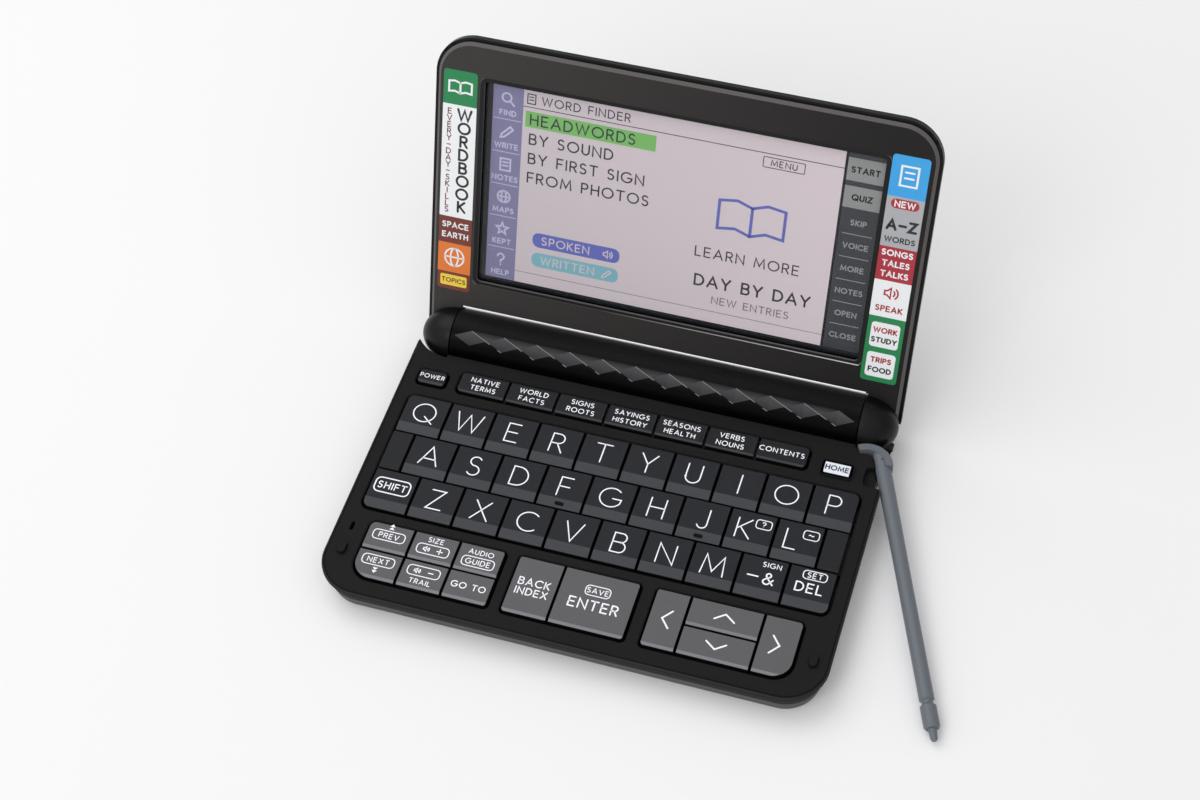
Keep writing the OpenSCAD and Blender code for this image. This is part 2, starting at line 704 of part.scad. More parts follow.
module lid_cover() {
    color([0.07, 0.07, 0.07]) in_lid() difference() {
        union() {
            difference() {
                hull() {
                    lid_slab(0, lid_step, lid_t - bezel_t - cover_round);
                    lid_slab(cover_round, lid_back - tiny, tiny);
                }
                barrel_notch();
                lid_hollow();
            }
            for (s = [0, 1]) mirror([s, 0, 0]) dome_solid(0);
        }
        for (s = [-1, 1]) translate([s * (half_w - dome_len + pin_out / 2), 0, 0])
            along_x(pin_out + 2 * pin_in) circle(pin_r + seat);
    }
}
hollow_in = 3.2;
cover_t = 1.0;
hollow_z = lid_back - cover_t;
module lid_hollow() {
    translate([-half_w + hollow_in, -lid_v + hollow_in, lid_step - over])
        cube([case_w - 2 * hollow_in, lid_v - lid_low - 2 * hollow_in - 1, hollow_z - lid_step + over]);
}
module window_box(grow, z, h) {
    translate([-window_w / 2 - grow, -window_v - window_h - grow, z])
        cube([window_w + 2 * grow, window_h + 2 * grow, h]);
}
// The window through the inner frame, with its small round corners
module window_hole(grow, z, h) {
    translate([0, 0, z]) linear_extrude(h)
        round_rect(-window_w / 2 - grow, -window_v - window_h - grow, window_w + 2 * grow, window_h + 2 * grow,
            window_r, window_r, window_r, window_r);
}
window_slope = 0.7;
glass_lap = 1;
glass_in = 0.95;
glass_z = lid_in + glass_in;
module lid_bezel() {
    color([0.23, 0.22, 0.21]) in_lid() difference() {
        hull() {
            lid_slab(rim, lid_in + bezel_edge, bezel_t - bezel_edge - seat);
            lid_slab(rim + bezel_edge, lid_in, tiny);
        }
        barrel_notch();
        for (s = [0, 1]) mirror([s, 0, 0]) dome_solid(fit);
        window_hole(0, lid_in - over, bezel_t + 2 * over);
        window_box(glass_lap + fit, glass_z - seat, bezel_t);
        hull() {
            window_hole(window_edge, lid_in - tiny, tiny);
            window_hole(0, lid_in + window_edge * window_slope, tiny);
        }
    }
}
module display_glass() {
    color([0.12, 0.13, 0.15]) in_lid() window_box(glass_lap, glass_z, glass_t);
}
panel_in = 1.5;
module display_panel() {
    panel_z = glass_z + glass_t + seat;
    color([0.85, 0.82, 0.85]) in_lid() window_box(-panel_in, panel_z, min(panel_t, hollow_z - panel_z - seat));
}

// The pen: tip, collar, neck and swelling shaft about its own axis, and the curved head
tip_r = 0.6;
point_r = 1.25;
point_l = 3.6;
waist_r = 1.6;
collar_from = 4.3;
collar_to = 10.2;
waist_from = 11;
waist_to = 11.8;
shaft_from = 12.3;
swell_from = 30;
swell_to = 50;
root_l = 12;
root_end = 0.4;
dimple_l = 2.7;
dimple_r = 0.4;
dimple_d = 0.35;
module stylus() {
    color([0.36, 0.38, 0.4]) difference() {
        union() {
            translate([pen_root[0], pen_root[1], pen_high]) rotate([0, 90 - pen_tilt, pen_turn]) rotate_extrude()
                polygon([[0, -pen_l], [tip_r, -pen_l], [point_r * 0.8, -pen_l + tip_r], [point_r, -pen_l + point_l],
                    [collar_r * 0.8, -pen_l + point_l], [collar_r, -pen_l + collar_from],
                    [collar_r, -pen_l + collar_to], [waist_r, -pen_l + waist_from], [waist_r, -pen_l + waist_to],
                    [pen_r, -pen_l + shaft_from], [pen_r, -pen_l + swell_from], [pen_r, -pen_l + swell_to],
                    [pen_neck_r, -root_l], [pen_neck_r, root_end], [0, root_end]]);
            translate([0, 0, pen_top - head_h]) linear_extrude(head_h) translate(pen_head) intersection() {
                difference() {
                    circle(head_r);
                    circle(head_r - head_t);
                }
                polygon([[0, 0], far * [cos(head_from), sin(head_from)], [far, far], far * [cos(head_to), sin(head_to)]]);
            }
        }
        translate([pen_root[0] - dimple_l * cos(pen_turn), pen_root[1] - dimple_l * sin(pen_turn),
            pen_high + pen_neck_r - dimple_l * sin(pen_tilt) - dimple_d]) cylinder(r = dimple_r, h = over);
    }
}

upper_case();
lower_case();
battery_barrel();
battery_cover();
batteries();
battery_contacts();
key_mat();
main_board();
hinge_pins();
rubber_feet();
case_screws();
lid_bezel();
lid_cover();
display_glass();
display_panel();
stylus();
key_books();
for (k = KEYS) key(k);
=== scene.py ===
"""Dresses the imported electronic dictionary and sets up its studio.

The CAD nodes get their finishes, and the key caps get rounded edges. The legends, the display's page,
the stickers and the barrel's facets are thin shapes that ride on the CAD bodies.
"""

import json
import logging
import math
from collections.abc import Callable, Iterable, Iterator
from contextlib import contextmanager
from dataclasses import dataclass, field
from enum import Enum

import bmesh
import bpy
from mathutils import Matrix, Vector


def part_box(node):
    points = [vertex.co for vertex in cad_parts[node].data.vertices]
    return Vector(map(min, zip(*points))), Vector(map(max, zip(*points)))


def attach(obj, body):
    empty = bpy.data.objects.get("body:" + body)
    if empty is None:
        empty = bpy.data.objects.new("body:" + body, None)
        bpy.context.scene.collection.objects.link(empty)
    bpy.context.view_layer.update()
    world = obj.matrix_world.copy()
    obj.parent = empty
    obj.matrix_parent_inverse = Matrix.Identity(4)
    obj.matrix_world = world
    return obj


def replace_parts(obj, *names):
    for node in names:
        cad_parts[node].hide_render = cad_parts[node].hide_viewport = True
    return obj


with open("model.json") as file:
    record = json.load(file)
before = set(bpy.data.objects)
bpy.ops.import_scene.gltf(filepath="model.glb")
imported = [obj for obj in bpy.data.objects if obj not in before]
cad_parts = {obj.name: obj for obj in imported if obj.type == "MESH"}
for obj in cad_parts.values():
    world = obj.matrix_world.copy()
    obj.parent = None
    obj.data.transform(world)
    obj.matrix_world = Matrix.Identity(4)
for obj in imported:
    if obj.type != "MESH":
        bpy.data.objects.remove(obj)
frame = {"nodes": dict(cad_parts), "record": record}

MM = 0.001
LOG = logging.getLogger("dictionary")

Point = tuple[float, float]
Solid = tuple[float, float, float]
Box = tuple[float, float, float, float]
Face = tuple[int, ...]
Color = tuple[int, int, int]
Stroke = list[Point]
Feeds = dict[str | int, object]

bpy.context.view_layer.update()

# Measures of the CAD part, in mm and degrees
HINGE_Y = 44.105
HINGE_Z = 8.3
OPEN_ANGLE = 111.0
DECK_H = 9.1
KEY_TOP = 9.9
LID_IN = 2.4
FLOOR_Z = -0.7
PITCH_X = 13.84
PITCH_Y = 14.07

# Layers of print, in mm above the ground that they are drawn on
FIRST = 0.01
SECOND = 0.02
THIRD = 0.03


def linear(color: Color) -> tuple[float, float, float, float]:
    """Turns a colour as seen on a screen into the linear one that a shader takes.

    Args:
        color: Red, green and blue from 0 to 255.

    Returns:
        The linear colour with an alpha of 1.
    """
    toe = 0.04045
    parts = [c / 255 for c in color]
    out = [p / 12.92 if p <= toe else ((p + 0.055) / 1.055) ** 2.4 for p in parts]
    return out[0], out[1], out[2], 1.0


# Nodes


def feed(tree: bpy.types.NodeTree, node: bpy.types.Node, feeds: Feeds) -> None:
    """Feeds a node's inputs with sockets or plain values.

    Args:
        tree: The tree that holds the node.
        node: The node.
        feeds: What goes into each input, by its name or index.
    """
    for label, value in feeds.items():
        if isinstance(value, bpy.types.NodeSocket):
            tree.links.new(value, node.inputs[label])
        else:
            node.inputs[label].default_value = value


def add_node(tree: bpy.types.NodeTree, kind: str, feeds: Feeds, **traits: object) -> bpy.types.Node:
    """Adds a node and feeds its inputs.

    Args:
        tree: The tree that gets the node.
        kind: The node's type.
        feeds: What goes into each input, by its name or index.
        traits: The node's settings, such as its operation.

    Returns:
        The new node.
    """
    node = tree.nodes.new(kind)
    for trait, value in traits.items():
        setattr(node, trait, value)
    feed(tree, node, feeds)
    return node


def math_node(tree: bpy.types.NodeTree, operation: str, *values: object) -> bpy.types.NodeSocket:
    """Adds a Math node and returns its result."""
    return add_node(tree, "ShaderNodeMath", dict(enumerate(values)), operation=operation).outputs[0]


def along_axis(tree: bpy.types.NodeTree, vector: bpy.types.NodeSocket, axis: object) -> bpy.types.NodeSocket:
    """Adds the dot product of a vector and an axis and returns it."""
    return add_node(tree, "ShaderNodeVectorMath", {0: vector, 1: axis}, operation="DOT_PRODUCT").outputs["Value"]


def mix_colors(tree: bpy.types.NodeTree, share: object, first: object, second: object) -> bpy.types.NodeSocket:
    """Adds a mix of two colours and returns it."""
    return add_node(tree, "ShaderNodeMix", {0: share, 6: first, 7: second}, data_type="RGBA").outputs[2]


def new_group(name: str, kind: str, inputs: dict[str, str],
              outputs: dict[str, str]) -> tuple[bpy.types.NodeTree, bpy.types.Node, bpy.types.Node]:
    """Makes an empty node group with named sockets.

    Args:
        name: The group's name.
        kind: The type of the group's tree.
        inputs: Name and socket type of each input.
        outputs: Name and socket type of each output.

    Returns:
        The group's tree, its input node and its output node.
    """
    tree = bpy.data.node_groups.new(name, kind)
    for way, sockets in (("INPUT", inputs), ("OUTPUT", outputs)):
        for label, socket_type in sockets.items():
            tree.interface.new_socket(label, in_out=way, socket_type=socket_type)
    return tree, tree.nodes.new("NodeGroupInput"), tree.nodes.new("NodeGroupOutput")


def grain_group() -> bpy.types.NodeTree:
    """Makes the fine moulded grain that the plastics share: a light bump and a slight change of tone.

    Returns:
        The group's tree.
    """
    tree, given, taken = new_group(
        "moulded_grain", "ShaderNodeTree",
        {"Color": "NodeSocketColor", "Scale": "NodeSocketFloat", "Depth": "NodeSocketFloat", "Tone": "NodeSocketFloat"},
        {"Color": "NodeSocketColor", "Normal": "NodeSocketVector"})
    place = add_node(tree, "ShaderNodeTexCoord", {})
    noise = add_node(tree, "ShaderNodeTexNoise", {
        "Vector": place.outputs["Object"], "Scale": given.outputs["Scale"], "Detail": 3.0})
    bump = add_node(tree, "ShaderNodeBump", {
        "Strength": given.outputs["Depth"], "Distance": 0.2 * MM, "Height": noise.outputs[0]})
    swing = math_node(tree, "SUBTRACT", noise.outputs[0], 0.5)
    share = math_node(tree, "MULTIPLY_ADD", swing, given.outputs["Tone"], 1.0)
    tone = add_node(tree, "ShaderNodeVectorMath", {0: given.outputs["Color"], "Scale": share}, operation="SCALE")
    feed(tree, taken, {"Color": tone.outputs[0], "Normal": bump.outputs[0]})
    return tree


def lean_group() -> bpy.types.NodeTree:
    """Makes the colour that changes with a face's lean: a top, a painted highlight on a strip or edge that leans, and
    painted shade on the steep walls.

    Returns:
        The group's tree, with Round at 1 where the edge counts on every side and not only at the front.
    """
    steep = 0.35
    tree, given, taken = new_group(
        "painted_light_by_lean", "ShaderNodeTree",
        {"Top": "NodeSocketColor", "Strip": "NodeSocketColor", "Wall": "NodeSocketColor",
         "Lean": "NodeSocketFloat", "Round": "NodeSocketFloat", "Axis": "NodeSocketVector"},
        {"Color": "NodeSocketColor"})
    normal = add_node(tree, "ShaderNodeTexCoord", {}).outputs["Normal"]
    upward = along_axis(tree, normal, given.outputs["Axis"])
    front = along_axis(tree, normal, (0.0, -1.0, 0.0))
    around = math_node(tree, "SUBTRACT", 1.0, upward)
    lean = add_node(tree, "ShaderNodeMix", {0: given.outputs["Round"], 2: front, 3: around}).outputs[0]
    # Faces that lean get the painted highlight, and steep faces get the painted shade.
    highlight_mask = math_node(tree, "GREATER_THAN", lean, given.outputs["Lean"])
    shade_mask = math_node(tree, "LESS_THAN", upward, steep)
    color = mix_colors(tree, highlight_mask, given.outputs["Top"], given.outputs["Strip"])
    feed(tree, taken, {"Color": mix_colors(tree, shade_mask, color, given.outputs["Wall"])})
    return tree


GRAIN = grain_group()
PAINTED_LIGHT_BY_LEAN = lean_group()
MADE: dict[str, bpy.types.Material] = {}


@dataclass(frozen=True)
class Fade:
    """A change of colour along a direction, from one distance to another in metres."""

    color: Color
    axis: Solid
    start: float
    end: float

    def wire(self, tree: bpy.types.NodeTree, color: Color) -> bpy.types.NodeSocket:
        """Adds the fade's nodes.

        Args:
            tree: The material's tree.
            color: The colour at the start.

        Returns:
            The socket that gives the mixed colour.
        """
        place = add_node(tree, "ShaderNodeTexCoord", {})
        along = along_axis(tree, place.outputs["Object"], self.axis)
        share = add_node(tree, "ShaderNodeMapRange", {"Value": along, "From Min": self.start, "From Max": self.end})
        return mix_colors(tree, share.outputs["Result"], linear(color), linear(self.color))


@dataclass(frozen=True)
class Finish:
    """A surface finish and the numbers that its shader takes."""

    name: str
    color: Color
    rough: float = 0.5
    metal: float = 0.0
    depth: float = 0.0
    scale: float = 2500.0
    tone: float = 0.0
    # A glow here is painted light, since none of these parts is a lamp.
    glow: float = 0.0
    alpha: float = 1.0
    # strip is the painted highlight on faces that lean, and wall is the painted shade on steep faces.
    strip: Color | None = None
    lean: float = 0.05
    spec: float = 0.5
    wall: Color | None = None
    edge: bool = False
    axis: Solid = (0.0, 0.0, 1.0)
    fade: Fade | None = None

    def material(self) -> bpy.types.Material:
        """Returns the material, which is built on first use."""
        if self.name not in MADE:
            MADE[self.name] = self._build()
        return MADE[self.name]

    def _build(self) -> bpy.types.Material:
        """Builds the shader tree.

        Returns:
            The new material.
        """
        base = linear(self.color)
        made = bpy.data.materials.new(self.name)
        made.diffuse_color = base
        made.use_nodes = True
        tree = made.node_tree
        shader = tree.nodes["Principled BSDF"]
        feed(tree, shader, {"Base Color": base, "Roughness": self.rough, "Metallic": self.metal,
                            "Alpha": self.alpha, "Specular IOR Level": self.spec})
        if self.glow:
            feed(tree, shader, {"Emission Color": base, "Emission Strength": self.glow})
        color = self.fade.wire(tree, self.color) if self.fade else base
        # The lean group paints the highlight on leaning faces and the shade on steep walls.
        if self.strip:
            feeds = {"Top": color, "Strip": linear(self.strip), "Wall": linear(self.wall or self.color),
                     "Lean": self.lean, "Round": float(self.edge), "Axis": self.axis}
            color = add_node(tree, "ShaderNodeGroup", feeds, node_tree=PAINTED_LIGHT_BY_LEAN).outputs["Color"]
        if self.depth or self.tone:
            feeds = {"Color": color, "Scale": self.scale, "Depth": self.depth, "Tone": self.tone}
            grain = add_node(tree, "ShaderNodeGroup", feeds, node_tree=GRAIN)
            color = grain.outputs["Color"]
            feed(tree, shader, {"Normal": grain.outputs["Normal"]})
        feed(tree, shader, {"Base Color": color})
        return made


OPEN_TURN = math.radians(OPEN_ANGLE)
LID_AXIS = (0.0, -math.sin(OPEN_TURN), -math.cos(OPEN_TURN))
RIGHTWARD = (1.0, 0.0, 0.0)
FACET_TURN = math.radians(53.0)
FACET_UP = (0.0, math.sin(FACET_TURN), math.cos(FACET_TURN))
FACET_MID = (HINGE_Y * FACET_UP[1] + HINGE_Z * FACET_UP[2]) * MM
# Painted shade for the keys' steep walls.
WALL_SHADE = (13, 13, 14)

# The deck's strip colour is a painted highlight on its chamfered edges, on every side.
DECK = Finish("deck_plastic", (27, 27, 28), rough=0.6, depth=0.12, tone=0.12, spec=0.1, strip=(46, 44, 43), edge=True)
CASE = Finish("case_plastic", (84, 84, 80), rough=0.6, depth=0.12, tone=0.1, spec=0.2)
# The barrel's fade is painted light: black in front, lighter above the facets towards the lid.
BARREL = Finish("barrel_satin", (2, 2, 2), rough=0.34, spec=0.06,
                fade=Fade((27, 26, 27), FACET_UP, FACET_MID + 1 * MM, FACET_MID + 6 * MM))
# The facets' lighter tone, lightest at their tops, is a painted reflection.
FACET_REFLECTION = Finish("barrel_facet_reflection", (26, 26, 28), rough=0.4, depth=0.03, tone=0.2, spec=0.2,
               fade=Fade((66, 64, 68), FACET_UP, FACET_MID - 2.3 * MM, FACET_MID + 1.9 * MM))
# A painted highlight between the facets' tops, bright at their middle line and fading upwards.
HAZE_HIGHLIGHT = Finish("barrel_haze_highlight", (64, 62, 65), rough=0.4, spec=0.2,
              fade=Fade((9, 9, 10), FACET_UP, FACET_MID, FACET_MID + 2.4 * MM))
# Painted highlight lines along the facets' edges.
RIDGE_HIGHLIGHT = Finish("barrel_ridge_highlight", (118, 115, 120), rough=0.4, spec=0.3)
# A painted highlight with a glow on the bevel above the barrel.
BEVEL_HIGHLIGHT = Finish("bezel_bevel_highlight", (236, 236, 238), rough=0.3, glow=0.4)
# Painted shade on the slopes round the window.
RECESS_SHADE = Finish("window_recess_shade", (24, 24, 25), spec=0.2)
# A painted highlight on the window's lower lip, dark at the left and bright towards the right.
LIP_HIGHLIGHT = Finish("window_lip_highlight", (52, 52, 53), rough=0.3, fade=Fade((205, 205, 208), RIGHTWARD, -0.02, 0.058))
CELL = Finish("cell_sleeve", (150, 120, 60), rough=0.35, metal=0.4)
CONTACT = Finish("contact_plating", (200, 200, 200), rough=0.3, metal=1.0)
MAT = Finish("key_mat_rubber", (10, 10, 11), rough=0.8, spec=0.05)
BOARD = Finish("board_lacquer", (20, 80, 45), rough=0.4)
PIN = Finish("pin_steel", (180, 180, 184), rough=0.25, metal=1.0)
FOOT = Finish("foot_rubber", (26, 26, 26), rough=0.8)
SCREW = Finish("screw_steel", (190, 190, 195), rough=0.3, metal=1.0)
# The bezel's fade is painted shade, darker towards the right; its strip colour is a painted highlight on its chamfers
# and its wall colour is painted shade on its steep faces.
BEZEL = Finish("bezel_plastic", (58, 56, 55), depth=0.2, scale=1800.0, tone=0.3, spec=0.15,
               fade=Fade((33, 31, 31), RIGHTWARD, -0.06, 0.06),
               strip=(90, 87, 86), wall=(30, 30, 30), edge=True, axis=LID_AXIS)
LID = Finish("lid_satin", (9, 9, 10), rough=0.36, depth=0.04, spec=0.2)
GLASS = Finish("display_cover", (20, 22, 26), rough=0.06, alpha=0.10)
PEN = Finish("pen_plastic", (100, 105, 112), rough=0.45, depth=0.05, spec=0.4)
# The keys' strip colours are painted highlights on their leaning front edges, and their walls get painted shade.
KEY_DARK = Finish("key_dark", (38, 39, 43), depth=0.1, tone=0.1, strip=(65, 66, 70), wall=WALL_SHADE, spec=0.15)
KEY_PLAIN = Finish("key_plain", (35, 36, 38), depth=0.1, tone=0.1, strip=(60, 61, 64), lean=0.2,
                   wall=WALL_SHADE, spec=0.15)
KEY_GREY = Finish("key_grey", (92, 91, 94), depth=0.1, tone=0.35, scale=3500,
                  strip=(122, 122, 127), lean=0.2, wall=WALL_SHADE, spec=0.25)
KEY_WHITE = Finish("key_white", (232, 237, 248), rough=0.45, strip=(232, 237, 248), wall=WALL_SHADE)
# The white print's slight glow is painted light.
PRINT_WHITE = Finish("print_white", (238, 240, 246), glow=0.1)
PRINT_DARK = Finish("print_dark", (22, 22, 26))
BAR_DARK = Finish("bar_dark", (9, 9, 10), rough=0.6, spec=0.1)
FLOOR = Finish("floor_paper", (242, 242, 243), rough=0.9)


class Ink(Enum):
    """The colours printed on the display and on the stickers."""

    BORDER = Finish("screen_border", (30, 32, 37), rough=0.25)
    TOUCH_BACK = Finish("touch_back", (66, 68, 75), rough=0.4)
    # The screen colours' slight glow is painted light that lifts them above what the lamps give the lid's face.
    PALE = Finish("screen_pale", (222, 211, 218), rough=0.4, glow=0.1,
                  fade=Fade((238, 224, 230), RIGHTWARD, -0.047, 0.047))
    STRIP = Finish("screen_blue", (142, 139, 178), rough=0.4, glow=0.06)
    STRIP_LIGHT = Finish("screen_lilac", (212, 212, 240), rough=0.4, glow=0.06)
    GREEN = Finish("screen_green", (134, 205, 112), rough=0.4, glow=0.06)
    TEXT = Finish("screen_text", (66, 64, 78), rough=0.4)
    TEXT_SOFT = Finish("screen_text_soft", (140, 134, 150), rough=0.4)
    PILL_BLUE = Finish("screen_pill_blue", (110, 118, 205), rough=0.4, glow=0.06)
    PILL_CYAN = Finish("screen_pill_cyan", (140, 200, 215), rough=0.4, glow=0.06)
    TOUCH = Finish("touch_grey", (166, 167, 167), rough=0.4)
    TOUCH_LINE = Finish("touch_line", (172, 176, 180), rough=0.4)
    STICK_RED = Finish("sticker_red", (168, 34, 52), rough=0.35)
    STICK_BROWN = Finish("sticker_brown", (112, 44, 30), rough=0.35)
    STICK_ORANGE = Finish("sticker_orange", (222, 116, 38), rough=0.35)
    STICK_GREEN = Finish("sticker_green", (22, 128, 72), rough=0.35)
    STICK_WHITE = Finish("sticker_white", (236, 238, 240), rough=0.35)
    STICK_BLUE = Finish("sticker_blue", (52, 160, 226), rough=0.35)
    STICK_SILVER = Finish("sticker_silver", (168, 170, 174), rough=0.35)
    STICK_BLACK = Finish("sticker_black", (34, 32, 34), rough=0.4)
    STICK_YELLOW = Finish("sticker_yellow", (235, 205, 60), rough=0.35)


# Shapes and pieces


def arc(cx: float, cy: float, rx: float, ry: float, start: float, end: float, steps: int = 0) -> Stroke:
    """Lists the points of an elliptical arc.

    Args:
        cx: The centre's place across.
        cy: The centre's place up.
        rx: Radius across.
        ry: Radius up.
        start: First angle in degrees.
        end: Last angle in degrees.
        steps: Number of steps, or 0 for one about every 12 degrees.

    Returns:
        The points from start to end.
    """
    count = steps or max(2, round(abs(end - start) / 12))
    turn = [math.radians(start + (end - start) * i / count) for i in range(count + 1)]
    return [(cx + rx * math.cos(t), cy + ry * math.sin(t)) for t in turn]


def round_box(x0: float, y0: float, x1: float, y1: float, r: float) -> Stroke:
    """Lists the outline of a rectangle with round corners, counter-clockwise.

    Args:
        x0: Left.
        y0: Bottom.
        x1: Right.
        y1: Top.
        r: Corner radius.

    Returns:
        The outline's points, not closed.
    """
    corners = [(x1 - r, y0 + r, 270), (x1 - r, y1 - r, 0), (x0 + r, y1 - r, 90), (x0 + r, y0 + r, 180)]
    return [p for cx, cy, a in corners for p in arc(cx, cy, r, r, a, a + 90, 4)]


Place = Callable[[float, float, float], Vector]


def on_deck(x: float, y: float, h: float) -> Vector:
    """Places a point drawn on the key tops, h above them."""
    return Vector((x, y, KEY_TOP + h)) * MM


LID_TURN = Matrix.Translation(Vector((0, HINGE_Y, HINGE_Z)) * MM) @ Matrix.Rotation(-OPEN_TURN, 4, "X")


def on_lid(u: float, v: float, h: float) -> Vector:
    """Places a point drawn on the lid's inner face, h in front of it."""
    return LID_TURN @ (Vector((u, -v, LID_IN - h)) * MM)


def new_mesh(name: str, points: Iterable[Vector | Solid], faces: list[Face], *finishes: Finish) -> bpy.types.Mesh:
    """Makes a mesh.

    Args:
        name: The mesh's name.
        points: Its points in metres.
        faces: The faces' corners.
        finishes: Its finishes.

    Returns:
        The new mesh.
    """
    mesh = bpy.data.meshes.new(name)
    mesh.from_pydata([tuple(p) for p in points], [], faces)
    for finish in finishes:
        mesh.materials.append(finish.material())
    return mesh


def new_piece(name: str, data: bpy.types.ID, body: str = "") -> bpy.types.Object:
    """Puts a mesh, lamp or camera into the scene.

    Args:
        name: The object's name.
        data: What it shows.
        body: The CAD body that carries it, if one does.

    Returns:
        The new object.
    """
    piece = bpy.data.objects.new(name, data)
    bpy.context.scene.collection.objects.link(piece)
    if body:
        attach(piece, body)
    return piece


@dataclass
class Drawing:
    """Flat shapes of several finishes that become one mesh."""

    place: Place
    height: float
    points: list[Vector] = field(default_factory=list)
    faces: list[Face] = field(default_factory=list)
    inks: list[int] = field(default_factory=list)
    finishes: list[Finish] = field(default_factory=list)

    def _add(self, outline: Iterable[Point], finish: Finish, lift: float, faces: list[Face]) -> None:
        """Adds points and the faces between them.

        Args:
            outline: The points.
            finish: The finish of the faces.
            lift: Height above the drawing's own.
            faces: The faces' corners, counted from the first of these points.
        """
        if finish not in self.finishes:
            self.finishes.append(finish)
        first = len(self.points)
        self.points += [self.place(x, y, self.height + lift) for x, y in outline]
        self.faces += [tuple(first + corner for corner in face) for face in faces]
        self.inks += [self.finishes.index(finish)] * len(faces)

    def area(self, outline: Stroke, finish: Finish, lift: float = 0.0) -> None:
        """Fills an outline whose points run counter-clockwise."""
        self._add(outline, finish, lift, [tuple(range(len(outline)))])

    def box(self, x0: float, y0: float, x1: float, y1: float, finish: Finish, lift: float = 0.0,
            r: float = 0.0) -> None:
        """Fills a rectangle, with round corners where r is given."""
        self.area(round_box(x0, y0, x1, y1, r) if r else [(x0, y0), (x1, y0), (x1, y1), (x0, y1)], finish, lift)

    def line(self, stroke: Stroke, width: float, finish: Finish, lift: float = 0.0, closed: bool = False) -> None:
        """Draws a line of even width with mitred corners, and with round ends where it is wide enough.

        Args:
            stroke: The points along the line's middle.
            width: The line's width.
            finish: The finish of the line.
            lift: Height above the drawing's own.
            closed: Whether the last point joins the first.
        """
        blunt, longest, wide = 0.2, 2.2, 0.3
        pts = [Vector(p) for p in stroke]
        count = len(pts)
        half = width / 2
        sides = []
        for i, p in enumerate(pts):
            before = pts[i - 1] if i or closed else None
            after = pts[(i + 1) % count] if i < count - 1 or closed else None
            d0 = (p - before).normalized() if before is not None else (after - p).normalized()
            d1 = (after - p).normalized() if after is not None else d0
            n0 = Vector((-d0.y, d0.x))
            n1 = Vector((-d1.y, d1.x))
            mid = (n0 + n1).normalized() if (n0 + n1).length > blunt else n0
            reach = half / max(mid.dot(n0), 1 / longest)
            sides += [p + mid * reach, p - mid * reach]
        starts = range(count if closed else count - 1)
        quads = [(2 * i, 2 * i + 1, (2 * i + 3) % (2 * count), (2 * i + 2) % (2 * count)) for i in starts]
        self._add(sides, finish, lift, quads)
        if not closed and width > wide:
            for end, towards in ((pts[0], pts[0] - pts[1]), (pts[-1], pts[-1] - pts[-2])):
                angle = math.degrees(math.atan2(towards.y, towards.x))
                self.area(arc(end.x, end.y, half, half, angle - 90, angle + 90, 6), finish, lift)

    def rim(self, x0: float, y0: float, x1: float, y1: float, r: float, width: float, finish: Finish,
            lift: float = 0.0) -> None:
        """Draws the outline of a rectangle with round corners."""
        self.line(round_box(x0, y0, x1, y1, r), width, finish, lift, closed=True)

    def glyph(self, sign: str, x: float, y: float, size: float, width: float, finish: Finish,
              lift: float = 0.0) -> None:
        """Draws one sign of the stroke alphabet around a centre.

        Args:
            sign: A key of SIGNS.
            x: The centre's place across.
            y: The centre's place up.
            size: Height of a capital letter.
            width: Width of the stroke.
            finish: The finish of the lines.
            lift: Height above the drawing's own.
        """
        strokes = SIGNS[sign]
        xs = [p[0] for s in strokes for p in s]
        mid = (min(xs) + max(xs)) / 2
        for s in strokes:
            closed = s[0] == s[-1] and len(s) > 3
            pts = [(x + (px - mid) * size, y + (py - 0.5) * size) for px, py in s]
            self.line(pts[:-1] if closed else pts, width, finish, lift, closed)

    def word(self, signs: str, x: float, y: float, size: float, width: float, finish: Finish, lift: float = 0.0,
             left: bool = False) -> None:
        """Draws a line of print, each letter as wide as it is, or the one sign that signs names.

        Args:
            signs: The letters and spaces, or a key of SIGNS.
            x: Centre, or the left end where left is true.
            y: The centre's place up.
            size: Height of a capital letter.
            width: Width of the stroke.
            finish: The finish of the lines.
            lift: Height above the drawing's own.
            left: Whether x is the left end.
        """
        if signs in SIGNS:
            self.glyph(signs, x, y, size, width, finish, lift)
            return
        space, blank = 0.38, 0.3
        wide = [blank if c == " " else max(p[0] for s in SIGNS[c] for p in s) for c in signs]
        at = x if left else x - (sum(wide) + space * (len(wide) - 1)) * size / 2
        for sign, w in zip(signs, wide):
            if sign != " ":
                self.glyph(sign, at + w * size / 2, y, size, width, finish, lift)
            at += (w + space) * size

    def stack(self, signs: str, x: float, top: float, size: float, width: float, finish: Finish,
              lift: float = 0.0) -> None:
        """Draws letters one below the other, from the top down."""
        step = size * 1.3
        for i, sign in enumerate(signs):
            self.glyph(sign, x, top - (i + 0.5) * step, size, width, finish, lift)

    def emit(self, name: str, body: str) -> bpy.types.Object:
        """Makes the drawing's mesh and lets it ride on a body.

        Args:
            name: The piece's name.
            body: The CAD body that carries it.

        Returns:
            The new object.
        """
        mesh = new_mesh(name, self.points, self.faces, *self.finishes)
        for polygon, ink in zip(mesh.polygons, self.inks):
            polygon.material_index = ink
        mesh.update()
        LOG.info("%s: %d faces on %s", name, len(self.faces), body)
        return new_piece(name, mesh, body)


def ellipse(cx: float, cy: float, rx: float, ry: float) -> Stroke:
    """Lists a closed ellipse, with its first point repeated at its end."""
    return loop(arc(cx, cy, rx, ry, 0, 360, 28)[:-1])


def loop(points: Stroke) -> Stroke:
    """Repeats a stroke's first point at its end, which closes it."""
    return [*points, points[0]]


